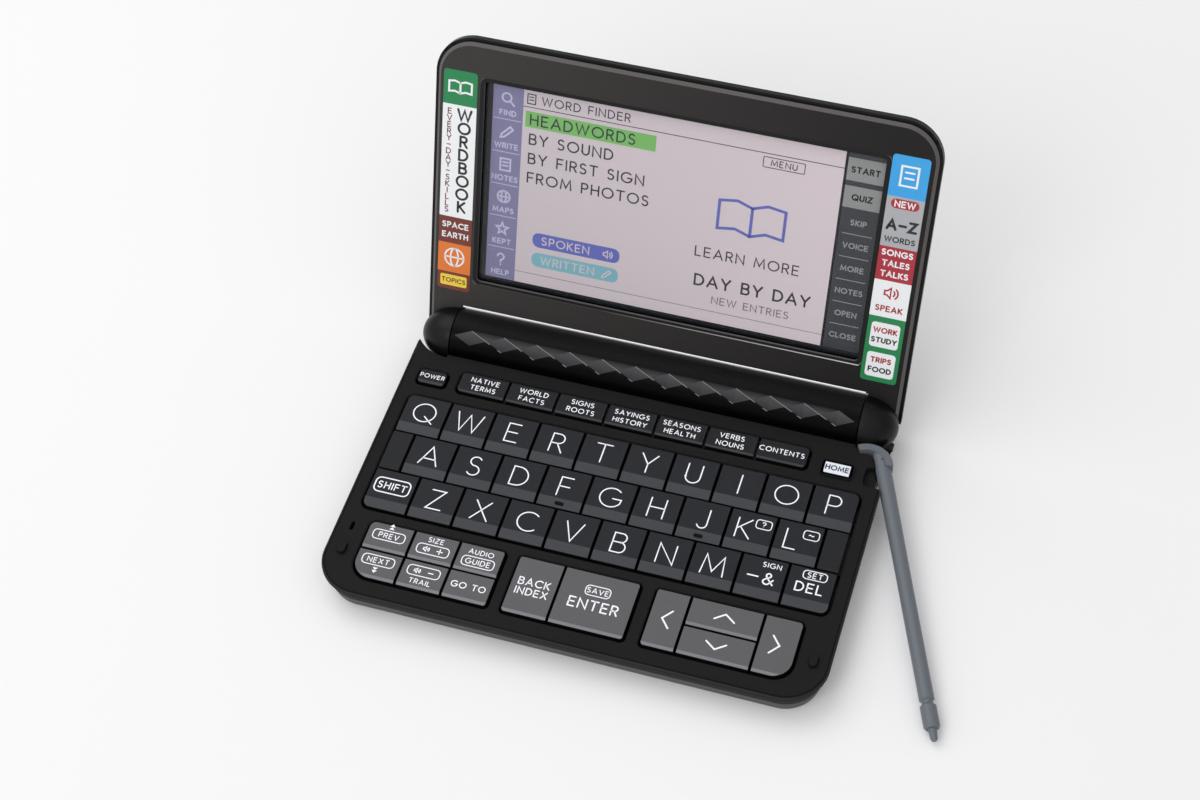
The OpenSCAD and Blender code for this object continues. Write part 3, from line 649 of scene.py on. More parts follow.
SIGNS: dict[str, list[Stroke]] = {
    "A": [[(0, 0), (0.43, 1), (0.86, 0)], [(0.14, 0.32), (0.72, 0.32)]],
    "B": [[(0.36, 0.53), *arc(0.36, 0.765, 0.22, 0.235, -90, 90), (0, 1), (0, 0),
           *arc(0.38, 0.265, 0.25, 0.265, -90, 90), (0, 0.53)]],
    "C": [arc(0.5, 0.5, 0.52, 0.5, 48, 312)],
    "D": [loop([(0, 0), *arc(0.26, 0.5, 0.5, 0.5, -90, 90), (0, 1)])],
    "E": [[(0.56, 1), (0, 1), (0, 0), (0.58, 0)], [(0, 0.52), (0.5, 0.52)]],
    "F": [[(0.54, 1), (0, 1), (0, 0)], [(0, 0.5), (0.48, 0.5)]],
    "G": [[*arc(0.5, 0.5, 0.52, 0.5, 48, 330), (0.98, 0.46), (0.58, 0.46)]],
    "H": [[(0, 0), (0, 1)], [(0.7, 0), (0.7, 1)], [(0, 0.52), (0.7, 0.52)]],
    "I": [[(0, 0), (0, 1)]],
    "J": [[(0.4, 1), (0.4, 0.24), *arc(0.18, 0.22, 0.22, 0.22, 0, -160)]],
    "K": [[(0, 0), (0, 1)], [(0.6, 1), (0.04, 0.46)], [(0.14, 0.56), (0.64, 0)]],
    "L": [[(0, 1), (0, 0), (0.52, 0)]],
    "M": [[(0, 0), (0.1, 1), (0.5, 0.16), (0.9, 1), (1.0, 0)]],
    "N": [[(0, 0), (0, 1), (0.76, 0), (0.76, 1)]],
    "O": [ellipse(0.5, 0.5, 0.52, 0.5)],
    "P": [[(0, 0), (0, 1), *arc(0.32, 0.73, 0.26, 0.27, 90, -90), (0, 0.46)]],
    "Q": [ellipse(0.5, 0.5, 0.52, 0.5), [(0.56, 0.3), (0.98, -0.04)]],
    "R": [[(0, 0), (0, 1), *arc(0.32, 0.74, 0.25, 0.26, 90, -90), (0, 0.48)], [(0.3, 0.48), (0.6, 0)]],
    "S": [[*arc(0.3, 0.76, 0.25, 0.24, 35, 260), *arc(0.29, 0.26, 0.28, 0.26, 80, -145)]],
    "T": [[(0, 1), (0.7, 1)], [(0.35, 1), (0.35, 0)]],
    "U": [[(0, 1), (0, 0.32), *arc(0.33, 0.32, 0.33, 0.32, 180, 360), (0.66, 1)]],
    "V": [[(0, 1), (0.4, 0), (0.8, 1)]],
    "W": [[(0, 1), (0.3, 0), (0.61, 0.94), (0.92, 0), (1.22, 1)]],
    "X": [[(0, 0), (0.74, 1)], [(0.04, 1), (0.78, 0)]],
    "Y": [[(0, 1), (0.37, 0.46), (0.74, 1)], [(0.37, 0.46), (0.37, 0)]],
    "Z": [[(0.04, 1), (0.68, 1), (0, 0), (0.7, 0)]],
    "?": [[*arc(0.3, 0.72, 0.26, 0.27, 170, -50), (0.3, 0.4), (0.3, 0.26)], [(0.3, 0.04), (0.3, 0)]],
    "~": [[(0, 0.42), (0.2, 0.62), (0.45, 0.5), (0.7, 0.38), (0.9, 0.58)]],
    "-": [[(0, 0.5), (0.62, 0.5)]],
    "+": [[(0, 0.5), (0.7, 0.5)], [(0.35, 0.15), (0.35, 0.85)]],
    "&": [[(0.8, 0.02), (0.22, 0.68), *arc(0.38, 0.8, 0.18, 0.18, 215, -40), (0.16, 0.44),
           *arc(0.3, 0.24, 0.26, 0.24, 130, 320), (0.78, 0.46)]],
    "<": [[(0.42, 1), (0, 0.5), (0.42, 0)]],
    ">": [[(0, 1), (0.42, 0.5), (0, 0)]],
    "^": [[(0, 0.3), (0.55, 0.7), (1.1, 0.3)]],
    "v": [[(0, 0.7), (0.55, 0.3), (1.1, 0.7)]],
    "speaker": [loop([(0, 0.34), (0.18, 0.34), (0.42, 0.1), (0.42, 0.9), (0.18, 0.66), (0, 0.66)]),
                arc(0.5, 0.5, 0.2, 0.24, -50, 50), arc(0.5, 0.5, 0.42, 0.46, -50, 50)],
    "lens": [ellipse(0.4, 0.6, 0.36, 0.36), [(0.66, 0.34), (1.0, 0)]],
    "book": [[(0.75, 0.1), (0.4, 0.22), (0, 0.16), (0, 0.86), (0.4, 0.92), (0.75, 0.8), (1.1, 0.92), (1.5, 0.86),
              (1.5, 0.16), (1.1, 0.22), (0.75, 0.1), (0.75, 0.8)]],
    "pen": [loop([(0, 0), (0.08, 0.3), (0.75, 0.97), (0.97, 0.75), (0.3, 0.08)])],
    "globe": [ellipse(0.5, 0.5, 0.5, 0.5), ellipse(0.5, 0.5, 0.2, 0.5), [(0, 0.5), (1, 0.5)]],
    "star": [loop([(0.5, 1), (0.62, 0.64), (1, 0.62), (0.7, 0.38), (0.8, 0), (0.5, 0.22), (0.2, 0), (0.3, 0.38),
                   (0, 0.62), (0.38, 0.64)])],
    "note": [loop([(0, 0), (0.8, 0), (0.8, 1), (0, 1)]), [(0.2, 0.7), (0.6, 0.7)], [(0.2, 0.4), (0.6, 0.4)]],
}


# Pieces from the CAD model and in rows


def row_tree() -> bpy.types.NodeTree:
    """Makes the node tree that repeats a piece in a straight row.

    Returns:
        The tree, with inputs Piece, Count, Step and Finish.
    """
    tree, given, taken = new_group(
        "row_of_pieces", "GeometryNodeTree",
        {"Piece": "NodeSocketObject", "Count": "NodeSocketInt", "Step": "NodeSocketVector",
         "Finish": "NodeSocketMaterial"},
        {"Geometry": "NodeSocketGeometry"})
    places = add_node(tree, "GeometryNodeMeshLine", {"Count": given.outputs["Count"], "Offset": given.outputs["Step"]})
    source = add_node(tree, "GeometryNodeObjectInfo", {"Object": given.outputs["Piece"]})
    spread = add_node(tree, "GeometryNodeInstanceOnPoints", {
        "Points": places.outputs["Mesh"], "Instance": source.outputs["Geometry"]})
    real = add_node(tree, "GeometryNodeRealizeInstances", {"Geometry": spread.outputs["Instances"]})
    paint = add_node(tree, "GeometryNodeSetMaterial", {
        "Geometry": real.outputs["Geometry"], "Material": given.outputs["Finish"]})
    feed(tree, taken, {"Geometry": paint.outputs["Geometry"]})
    return tree


ROW = row_tree()


def repeat_row(name: str, mesh: bpy.types.Mesh, count: int, step: float, finish: Finish, body: str) -> None:
    """Repeats a mesh in a row to the right and keeps the result as one plain mesh.

    Args:
        name: The new piece's name.
        mesh: The mesh of the first piece, in its place.
        count: How many pieces.
        step: The way from one to the next in mm.
        finish: The finish of all of them.
        body: The CAD body that carries the row.
    """
    seed = new_piece(name + "_seed", mesh)
    holder = new_piece(name + "_holder", bpy.data.meshes.new(name + "_holder"))
    modifier = holder.modifiers.new("row", "NODES")
    modifier.node_group = ROW
    values = {"Piece": seed, "Count": count, "Step": (step * MM, 0.0, 0.0), "Finish": finish.material()}
    for item in ROW.interface.items_tree:
        if item.in_out == "INPUT":
            modifier[item.identifier] = values[item.name]
    bpy.context.view_layer.update()
    plain = bpy.data.meshes.new_from_object(holder.evaluated_get(bpy.context.evaluated_depsgraph_get()))
    plain.name = name
    for item in (holder, seed):
        bpy.data.objects.remove(item)
    new_piece(name, plain, body)
    LOG.info("%s: %d in a row on %s", name, count, body)


def body_name(node: str) -> str:
    """Finds the body that a CAD node belongs to."""
    return next(name for name, nodes in frame["record"]["behaviour"]["bodies"].items() if node in nodes)


def softened(node: str, finish: Finish, width: float, low: float) -> None:
    """Copies a CAD node with its upper edges rounded, and lets the copy stand for it.

    Args:
        node: The CAD node.
        finish: The copy's finish.
        width: Width of the rounding in mm.
        low: Height in mm above which edges are rounded.
    """
    even, sharp = math.radians(1.0), math.radians(24)
    work = bmesh.new()
    work.from_mesh(frame["nodes"][node].data)
    bmesh.ops.remove_doubles(work, verts=work.verts, dist=1e-7)
    bmesh.ops.dissolve_limit(work, angle_limit=even, verts=work.verts, edges=work.edges)
    edges = [e for e in work.edges if len(e.link_faces) == 2 and e.calc_face_angle(0.0) > sharp
             and min(v.co.z for v in e.verts) > low * MM]
    bmesh.ops.bevel(work, geom=edges, offset=width * MM, segments=2, profile=0.6, affect="EDGES", clamp_overlap=True)
    mesh = bpy.data.meshes.new(node + "_cap")
    work.to_mesh(mesh)
    work.free()
    mesh.materials.append(finish.material())
    for name in ("custom_normal", "sharp_face"):
        if name in mesh.attributes:
            mesh.attributes.remove(mesh.attributes[name])
    mesh.shade_flat()
    for polygon in mesh.polygons:
        polygon.material_index = 0
    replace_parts(new_piece(node + "_cap", mesh, body_name(node)), node)


def dress(node: str, finish: Finish) -> None:
    """Gives a CAD node its finish."""
    mesh = frame["nodes"][node].data
    mesh.materials.clear()
    mesh.materials.append(finish.material())
    for polygon in mesh.polygons:
        polygon.material_index = 0


@dataclass
class Shell:
    """The case, the barrel, the pen and the inner pieces, which only need a finish, the deck's groove and the painted
    shade round the bumpers.
    """

    finishes: dict[str, Finish] = field(default_factory=lambda: {
        "upper_case": DECK, "lower_case": CASE, "battery_barrel": BARREL, "battery_cover": BARREL,
        "batteries": CELL, "battery_contacts": CONTACT, "key_mat": MAT, "main_board": BOARD,
        "hinge_pins": PIN, "rubber_feet": FOOT, "case_screws": SCREW, "stylus": PEN})
    lift: float = 0.03
    corner: Point = (61.5, -40.205)
    radius: float = 11.68
    ends: Point = (33.0, 21.0)
    groove: float = 0.36
    bumper: Point = (69.0, -38.805)
    # Half width and half length of the painted shade round each bumper.
    gap: Point = (1.35, 2.25)

    def build(self) -> None:
        """Dresses the nodes and draws the groove inside the deck's edge and the painted shade round each bumper."""
        for node, finish in self.finishes.items():
            dress(node, finish)
        art = Drawing(on_deck, DECK_H - KEY_TOP + self.lift)
        x, y = self.corner
        side = x + self.radius
        left = arc(-x, y, self.radius, self.radius, 180, 270)
        right = arc(x, y, self.radius, self.radius, 270, 360)
        art.line([(-side, self.ends[0]), *left, *right, (side, self.ends[1])], self.groove, BAR_DARK)
        # A dark patch under each bumper is painted shade round it.
        y = self.bumper[1]
        wide, tall = self.gap
        for x in (-self.bumper[0], self.bumper[0]):
            art.box(x - wide, y - tall, x + wide, y + tall, BAR_DARK, r=wide)
        art.emit("deck_groove", "case")


@dataclass(frozen=True)
class Mark:
    """A word or sign of a legend, in mm from the middle of its key."""

    text: str
    x: float
    y: float
    size: float
    width: float

    def draw(self, art: Drawing, x: float, y: float) -> None:
        """Draws the mark on the key whose middle is given."""
        art.word(self.text, x + self.x, y + self.y, self.size, self.width, PRINT_WHITE)


@dataclass(frozen=True)
class Rim:
    """A rounded frame round a part of a legend, in mm from the middle of its key."""

    x0: float
    y0: float
    x1: float
    y1: float
    r: float
    width: float = 0.3

    def draw(self, art: Drawing, x: float, y: float) -> None:
        """Draws the frame on the key whose middle is given."""
        art.rim(x + self.x0, y + self.y0, x + self.x1, y + self.y1, self.r, self.width, PRINT_WHITE)


@dataclass(frozen=True)
class Wedge:
    """A small triangle of a legend that points up or down, with its base at y."""

    y: float
    way: int

    def draw(self, art: Drawing, x: float, y: float) -> None:
        """Draws the triangle on the key whose middle is given."""
        base = y + self.y
        half, tall = 0.8, 0.9
        tip = (x, base + self.way * tall)
        left, right = (x - half, base), (x + half, base)
        art.area([left, right, tip] if self.way > 0 else [left, tip, right], PRINT_WHITE)


LEGENDS: dict[str, tuple[Mark | Rim | Wedge, ...]] = {
    "shift": (Rim(-5.3, -1.1, 5.3, 3.9, 1.5, 0.4), Mark("SHIFT", 0.0, 1.4, 2.1, 0.36)),
    "dash": (Mark("-", -2.4, 0.1, 4.8, 0.46), Mark("&", 2.2, 0.0, 3.7, 0.46), Mark("SIGN", 2.2, 4.5, 1.5, 0.26)),
    "delete": (Rim(-2.7, 3.0, 4.1, 5.8, 1.0), Mark("SET", 0.7, 4.4, 1.6, 0.28), Mark("DEL", -0.1, 0.1, 2.9, 0.44)),
    "page_up": (Rim(-4.8, -1.0, 4.8, 2.2, 1.15), Mark("PREV", 0.0, 0.6, 1.6, 0.28), Wedge(2.9, 1), Wedge(3.9, 1)),
    "page_down": (Rim(-4.8, -0.1, 4.8, 3.1, 1.15), Mark("NEXT", 0.0, 1.5, 1.6, 0.28), Wedge(-0.8, -1),
                  Wedge(-1.8, -1)),
    "volume_up": (Rim(-4.8, -2.2, 4.8, 1.0, 1.15), Mark("speaker", -1.9, -0.6, 1.9, 0.3),
                  Mark("+", 2.1, -0.6, 2.2, 0.36), Mark("SIZE", 0.0, 2.7, 1.5, 0.26)),
    "volume_down": (Rim(-4.8, -0.2, 4.8, 3.0, 1.15), Mark("speaker", -1.9, 1.4, 1.9, 0.3),
                    Mark("-", 2.1, 1.4, 2.2, 0.36), Mark("TRAIL", 0.0, -2.1, 1.5, 0.26)),
    "search": (Rim(-4.8, -2.7, 4.8, 0.5, 1.15), Mark("GUIDE", 0.0, -1.1, 1.6, 0.28),
               Mark("AUDIO", 0.0, 2.2, 1.5, 0.26)),
    "left": (Mark("<", 0.1, 0.3, 5.7, 0.5),),
    "right": (Mark(">", -0.7, 0.3, 5.7, 0.5),),
    "up": (Mark("^", 0.0, 0.3, 5.2, 0.5),),
    "down": (Mark("v", -0.2, 0.3, 5.2, 0.5),),
    "jump": (Mark("GO TO", 0.0, 0.2, 1.8, 0.32),),
    "back": (Mark("BACK", 0.0, 1.5, 2.2, 0.38), Mark("INDEX", 0.0, -1.7, 2.1, 0.36)),
    "enter": (Mark("SAVE", 0.0, 3.6, 1.55, 0.27), Mark("ENTER", 0.0, -1.2, 3.0, 0.46), Rim(-3.6, 2.0, 3.6, 5.2, 1.1)),
    "power": (Mark("POWER", 0.0, 0.2, 1.35, 0.24),),
}


@dataclass
class Keyboard:
    """The keys' rounded caps and their printed legends."""

    edge: float = 0.14
    skirt: float = 1.2
    letter: float = 6.5
    stroke: float = 0.39
    lift: float = 0.02
    bar: Point = (1.3, 0.45)
    bar_y: float = 1.77
    bar_lift: float = 0.16
    letters_y: float = -23.905
    rows: tuple[tuple[str, float], ...] = (("ZXCVBNM", 0.41), ("ASDFGHJKL", 0.7), ("QWERTYUIOP", 1.02))
    books: tuple[tuple[str, str], ...] = (
        ("NATIVE", "TERMS"), ("WORLD", "FACTS"), ("SIGNS", "ROOTS"), ("SAYINGS", "HISTORY"), ("SEASONS", "HEALTH"),
        ("VERBS", "NOUNS"), ("CONTENTS", ""))

    def build(self) -> None:
        """Makes the caps and draws the legends."""
        for node in frame["nodes"]:
            if node.startswith("key_") and node != "key_mat":
                softened(node, self._finish(node), self.edge, KEY_TOP - self.skirt)
        self._half_keys()
        for row, rise in self.rows:
            for sign in row:
                self._letter(sign, rise)
        for key, marks in LEGENDS.items():
            with self._legend(key) as (art, x, y):
                for mark in marks:
                    mark.draw(art, x, y)
        self._books()
        with self._legend("home") as (art, x, y):
            art.word("HOME", x, y, 1.5, 0.36, PRINT_DARK)

    def _finish(self, node: str) -> Finish:
        """Picks a key's finish by its material slot in the record."""
        if node in ("key_books", "key_power"):
            return KEY_PLAIN
        slots = {part["node"]: part["material_slot"] for part in frame["record"]["subparts"]}
        return {"key_dark": KEY_DARK, "key_grey": KEY_GREY, "key_white": KEY_WHITE}[slots[node]]

    @contextmanager
    def _legend(self, key: str) -> Iterator[tuple[Drawing, float, float]]:
        """Starts a key's legend and adds it to the scene when it is drawn.

        Args:
            key: The key's name without its prefix.

        Yields:
            The drawing on the key's top and the key's middle in mm.
        """
        low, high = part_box("key_" + key)
        art = Drawing(on_deck, self.lift)
        yield art, (low[0] + high[0]) / 2 / MM, (low[1] + high[1]) / 2 / MM
        art.emit("legend_" + key, "key_" + key)

    def _half_keys(self) -> None:
        """Gives the two fixed half keys of the middle row the colour of the keys."""
        art = Drawing(on_deck, self.lift)
        gap = 0.45
        low = self.letters_y + PITCH_Y
        for side in (-1, 1):
            near, far = sorted((side * (5 * PITCH_X - gap), side * (4.5 * PITCH_X + gap)))
            art.box(near, low + 2 * gap, far, low + PITCH_Y - gap, KEY_PLAIN, r=0.2)
        art.emit("half_keys", "case")

    def _letter(self, sign: str, rise: float) -> None:
        """Draws the legend of a letter key.

        Args:
            sign: The letter.
            rise: How far its middle lies above the key's.
        """
        extra, shift = {"K": ("?", -1.9), "L": ("~", -2.0)}.get(sign, ("", 0.0))
        with self._legend(sign.lower()) as (art, x, y):
            art.glyph(sign, x + shift, y + rise, self.letter, self.stroke, PRINT_WHITE)
            if sign in "FJ":
                wide, tall = self.bar
                mid = y - PITCH_Y / 2 + self.bar_y
                art.box(x - wide, mid - tall, x + wide, mid + tall, BAR_DARK, self.bar_lift, tall)
            if extra:
                for mark in (Rim(1.1, 1.7, 5.6, 4.7, 0.9), Mark(extra, 3.35, 3.2, 1.7, 0.3)):
                    mark.draw(art, x, y)

    def _books(self) -> None:
        """Draws the words on the strip of upper keys."""
        low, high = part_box("key_books")
        pitch = (high[0] - low[0]) / len(self.books) / MM
        with self._legend("books") as (art, _, y):
            for i, (upper, lower) in enumerate(self.books):
                x = low[0] / MM + (i + 0.5) * pitch
                art.word(upper, x, y + (1.5 if lower else 0.2), 1.55, 0.28, PRINT_WHITE)
                art.word(lower, x, y - 1.3, 1.55, 0.28, PRINT_WHITE)


@dataclass
class Barrel:
    """The diamond facets along the battery barrel, with a painted reflection on their faces and painted highlights
    along their edges.
    """

    count: int = 12
    long: float = 10.3
    tall: float = 4.6
    depth: float = 0.32
    gap: float = 0.03
    radius: float = 8.6
    lift: float = 0.02
    haze_highlight_lift: float = 0.03
    ridge_highlight_lift: float = 0.05
    ridge_highlight_width: Solid = (-0.14, -0.2, 0.01)
    bands: int = 6

    def build(self) -> None:
        """Makes the rhombs, the painted highlight between their tops and the painted highlight lines that run down to
        the right.
        """
        start = -(self.count - 1) / 2 * self.long
        middle = start + self.long / 2
        half = self.long / 2 - self.gap
        up = self.tall / 2
        rhomb = [(start - half, 0.0), (start, -up), (start + half, 0.0), (start, up)]
        points = [(*p, self.lift) for p in rhomb] + [(start, 0.0, self.lift - self.depth)]
        self._row("facet_faces", points, [(0, 1, 4), (1, 2, 4), (2, 3, 4), (3, 0, 4)], self.count, FACET_REFLECTION)
        # Flat painted highlight lines from each rhomb's top down to the right.
        edge = [(start, up), (middle, 0.0), (start + self.long, -up)]
        points = [(*p, self.ridge_highlight_lift) for p in edge]
        points += [tuple(Vector(p) + Vector(self.ridge_highlight_width)) for p in reversed(points)]
        self._row("facet_ridges", points, [(0, 1, 4, 5), (1, 2, 3, 4)], self.count - 1, RIDGE_HIGHLIGHT)
        # The painted highlight between the tops of neighbouring rhombs.
        points = [(middle + side * half * i / self.bands, up * i / self.bands, self.haze_highlight_lift)
                  for i in range(self.bands + 1) for side in (-1, 1)]
        faces = [(i, i + 1, i + 3, i + 2) for i in range(0, 2 * self.bands, 2)]
        self._row("facet_hazes", points, faces, self.count - 1, HAZE_HIGHLIGHT)

    def _row(self, name: str, points: list[Solid], faces: list[Face], count: int, finish: Finish) -> None:
        """Repeats a shape that lies on the round of the barrel.

        Args:
            name: The row's name.
            points: Place along the barrel, place around it from the facets' middle line, height above the round.
            faces: The faces' corners.
            count: How many shapes.
            finish: Their finish.
        """
        placed = []
        for x, around, height in points:
            turn = FACET_TURN + around / self.radius
            out = Vector((0, -math.cos(turn), math.sin(turn))) * (self.radius + height)
            placed.append((Vector((x, HINGE_Y, HINGE_Z)) + out) * MM)
        repeat_row(name, new_mesh(name + "_shape", placed, faces), count, self.long, finish, "case")


@dataclass
class Display:
    """The picture behind the display glass, with its touch strip."""

    carrier: Box = (-58.75, 18.85, 58.75, 84.55)
    face: float = -1.78
    low: float = 20.6
    high: float = 83.8
    strip: Point = (-56.6, -47.4)
    pale: Point = (-47.4, 47.0)
    touch: Point = (47.8, 58.4)
    touch_cells: Point = (21.6, 66.0)
    rule: float = 0.12

    def build(self) -> None:
        """Makes the picture's carrier, its areas and its signs."""
        dress("display_glass", GLASS)
        art = Drawing(on_lid, self.face)
        art.box(*self.carrier, Ink.BORDER.value)
        for (left, right), ink in ((self.strip, Ink.STRIP), (self.pale, Ink.PALE)):
            art.box(left, self.low, right, self.high, ink.value, FIRST)
        self._page(art)
        self._side_cells(art)
        self._touch_cells(art)
        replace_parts(art.emit("display_picture", "lid"), "display_panel")

    def _page(self, art: Drawing) -> None:
        """Draws the page on the pale area: a heading, rows, a book and two pills."""
        top = self.high
        left, right = self.pale
        dark, soft, pale, blue = (ink.value for ink in (Ink.TEXT, Ink.TEXT_SOFT, Ink.PALE, Ink.PILL_BLUE))
        art.box(left, top - 5.4, right, top - 5.15, dark, SECOND)
        art.word("note", left + 2.4, top - 2.7, 3.0, 0.34, dark, SECOND)
        art.word("WORD FINDER", left + 5.6, top - 2.7, 2.4, 0.36, dark, SECOND, left=True)
        art.rim(24.0, top - 9.6, 36.0, top - 6.4, 0.3, 0.26, dark, SECOND)
        art.word("MENU", 30.0, top - 8.0, 1.8, 0.3, dark, SECOND)
        art.box(left + 0.8, top - 11.6, left + 40, top - 6.6, Ink.GREEN.value, SECOND)
        for row, text in enumerate(("HEADWORDS", "BY SOUND", "BY FIRST SIGN", "FROM PHOTOS")):
            art.word(text, left + 2.4, top - 9.1 - row * 6.2, 3.1, 0.48, dark, THIRD, left=True)
        art.word("book", 22.5, 56.5, 13.0, 0.9, blue, SECOND)
        art.word("LEARN MORE", 22.5, 43.4, 3.0, 0.42, dark, SECOND)
        pills = ((36.0, blue, "speaker", 3.0, "SPOKEN"), (29.4, Ink.PILL_CYAN.value, "pen", 2.8, "WRITTEN"))
        for y, ink, sign, size, text in pills:
            art.box(left + 5, y - 2.4, left + 32, y + 2.4, ink, SECOND, r=2.0)
            art.word(sign, left + 28.4, y, size, 0.36, pale, THIRD)
            art.word(text, left + 8, y, 2.4, 0.4, pale, THIRD, left=True)
        art.word("DAY BY DAY", 25.0, 34.0, 3.4, 0.62, dark, SECOND)
        art.word("NEW ENTRIES", 25.0, 28.2, 2.2, 0.34, soft, SECOND)
        art.box(left, 24.2, right, 24.4, soft, SECOND)

    def _side_cells(self, art: Drawing) -> None:
        """Draws six cells with a sign each on the blue strip."""
        cells = {"lens": "FIND", "pen": "WRITE", "note": "NOTES", "globe": "MAPS", "star": "KEPT", "?": "HELP"}
        pale = Ink.STRIP_LIGHT.value
        left, right = self.strip
        tall = (self.high - self.low) / len(cells)
        for i, (sign, text) in enumerate(cells.items()):
            y = self.high - (i + 0.42) * tall
            art.word(sign, (left + right) / 2, y + 0.4, 3.8, 0.56, pale, SECOND)
            art.word(text, (left + right) / 2, y - 4.0, 1.5, 0.36, pale, SECOND)
        self._rules(art, (left + 0.4, right - 0.4), (self.low, self.high), len(cells), pale)

    def _touch_cells(self, art: Drawing) -> None:
        """Draws the touch strip at the right of the picture."""
        texts = ("SKIP", "VOICE", "MORE", "NOTES", "OPEN", "CLOSE")
        pale = Ink.TOUCH_LINE.value
        left, right = self.touch
        low, high = self.touch_cells
        mid = (left + right) / 2
        art.box(left, self.low, right, self.high, Ink.TOUCH_BACK.value, 0.005)
        for bottom, top in ((75.2, 82.3), (66.8, 73.6)):
            art.box(left, bottom, right, top, Ink.TOUCH.value, FIRST)
        for y, text in ((78.7, "START"), (70.2, "QUIZ")):
            art.word(text, mid, y, 1.6, 0.42, Ink.BORDER.value, SECOND)
        tall = (high - low) / len(texts)
        for i, text in enumerate(texts):
            art.word(text, mid, high - (i + 0.5) * tall, 1.5, 0.36, pale, SECOND)
        self._rules(art, (left + 1.0, right - 1.0), self.touch_cells, len(texts), pale)

    def _rules(self, art: Drawing, across: Point, up: Point, count: int, ink: Finish) -> None:
        """Draws the lines between equal cells.

        Args:
            art: The drawing.
            across: The lines' left and right ends.
            up: The lowest cell's bottom and the highest cell's top.
            count: How many cells.
            ink: The lines' finish.
        """
        for i in range(1, count):
            y = up[1] - i * (up[1] - up[0]) / count
            art.box(across[0], y - self.rule, across[1], y + self.rule, ink, SECOND)


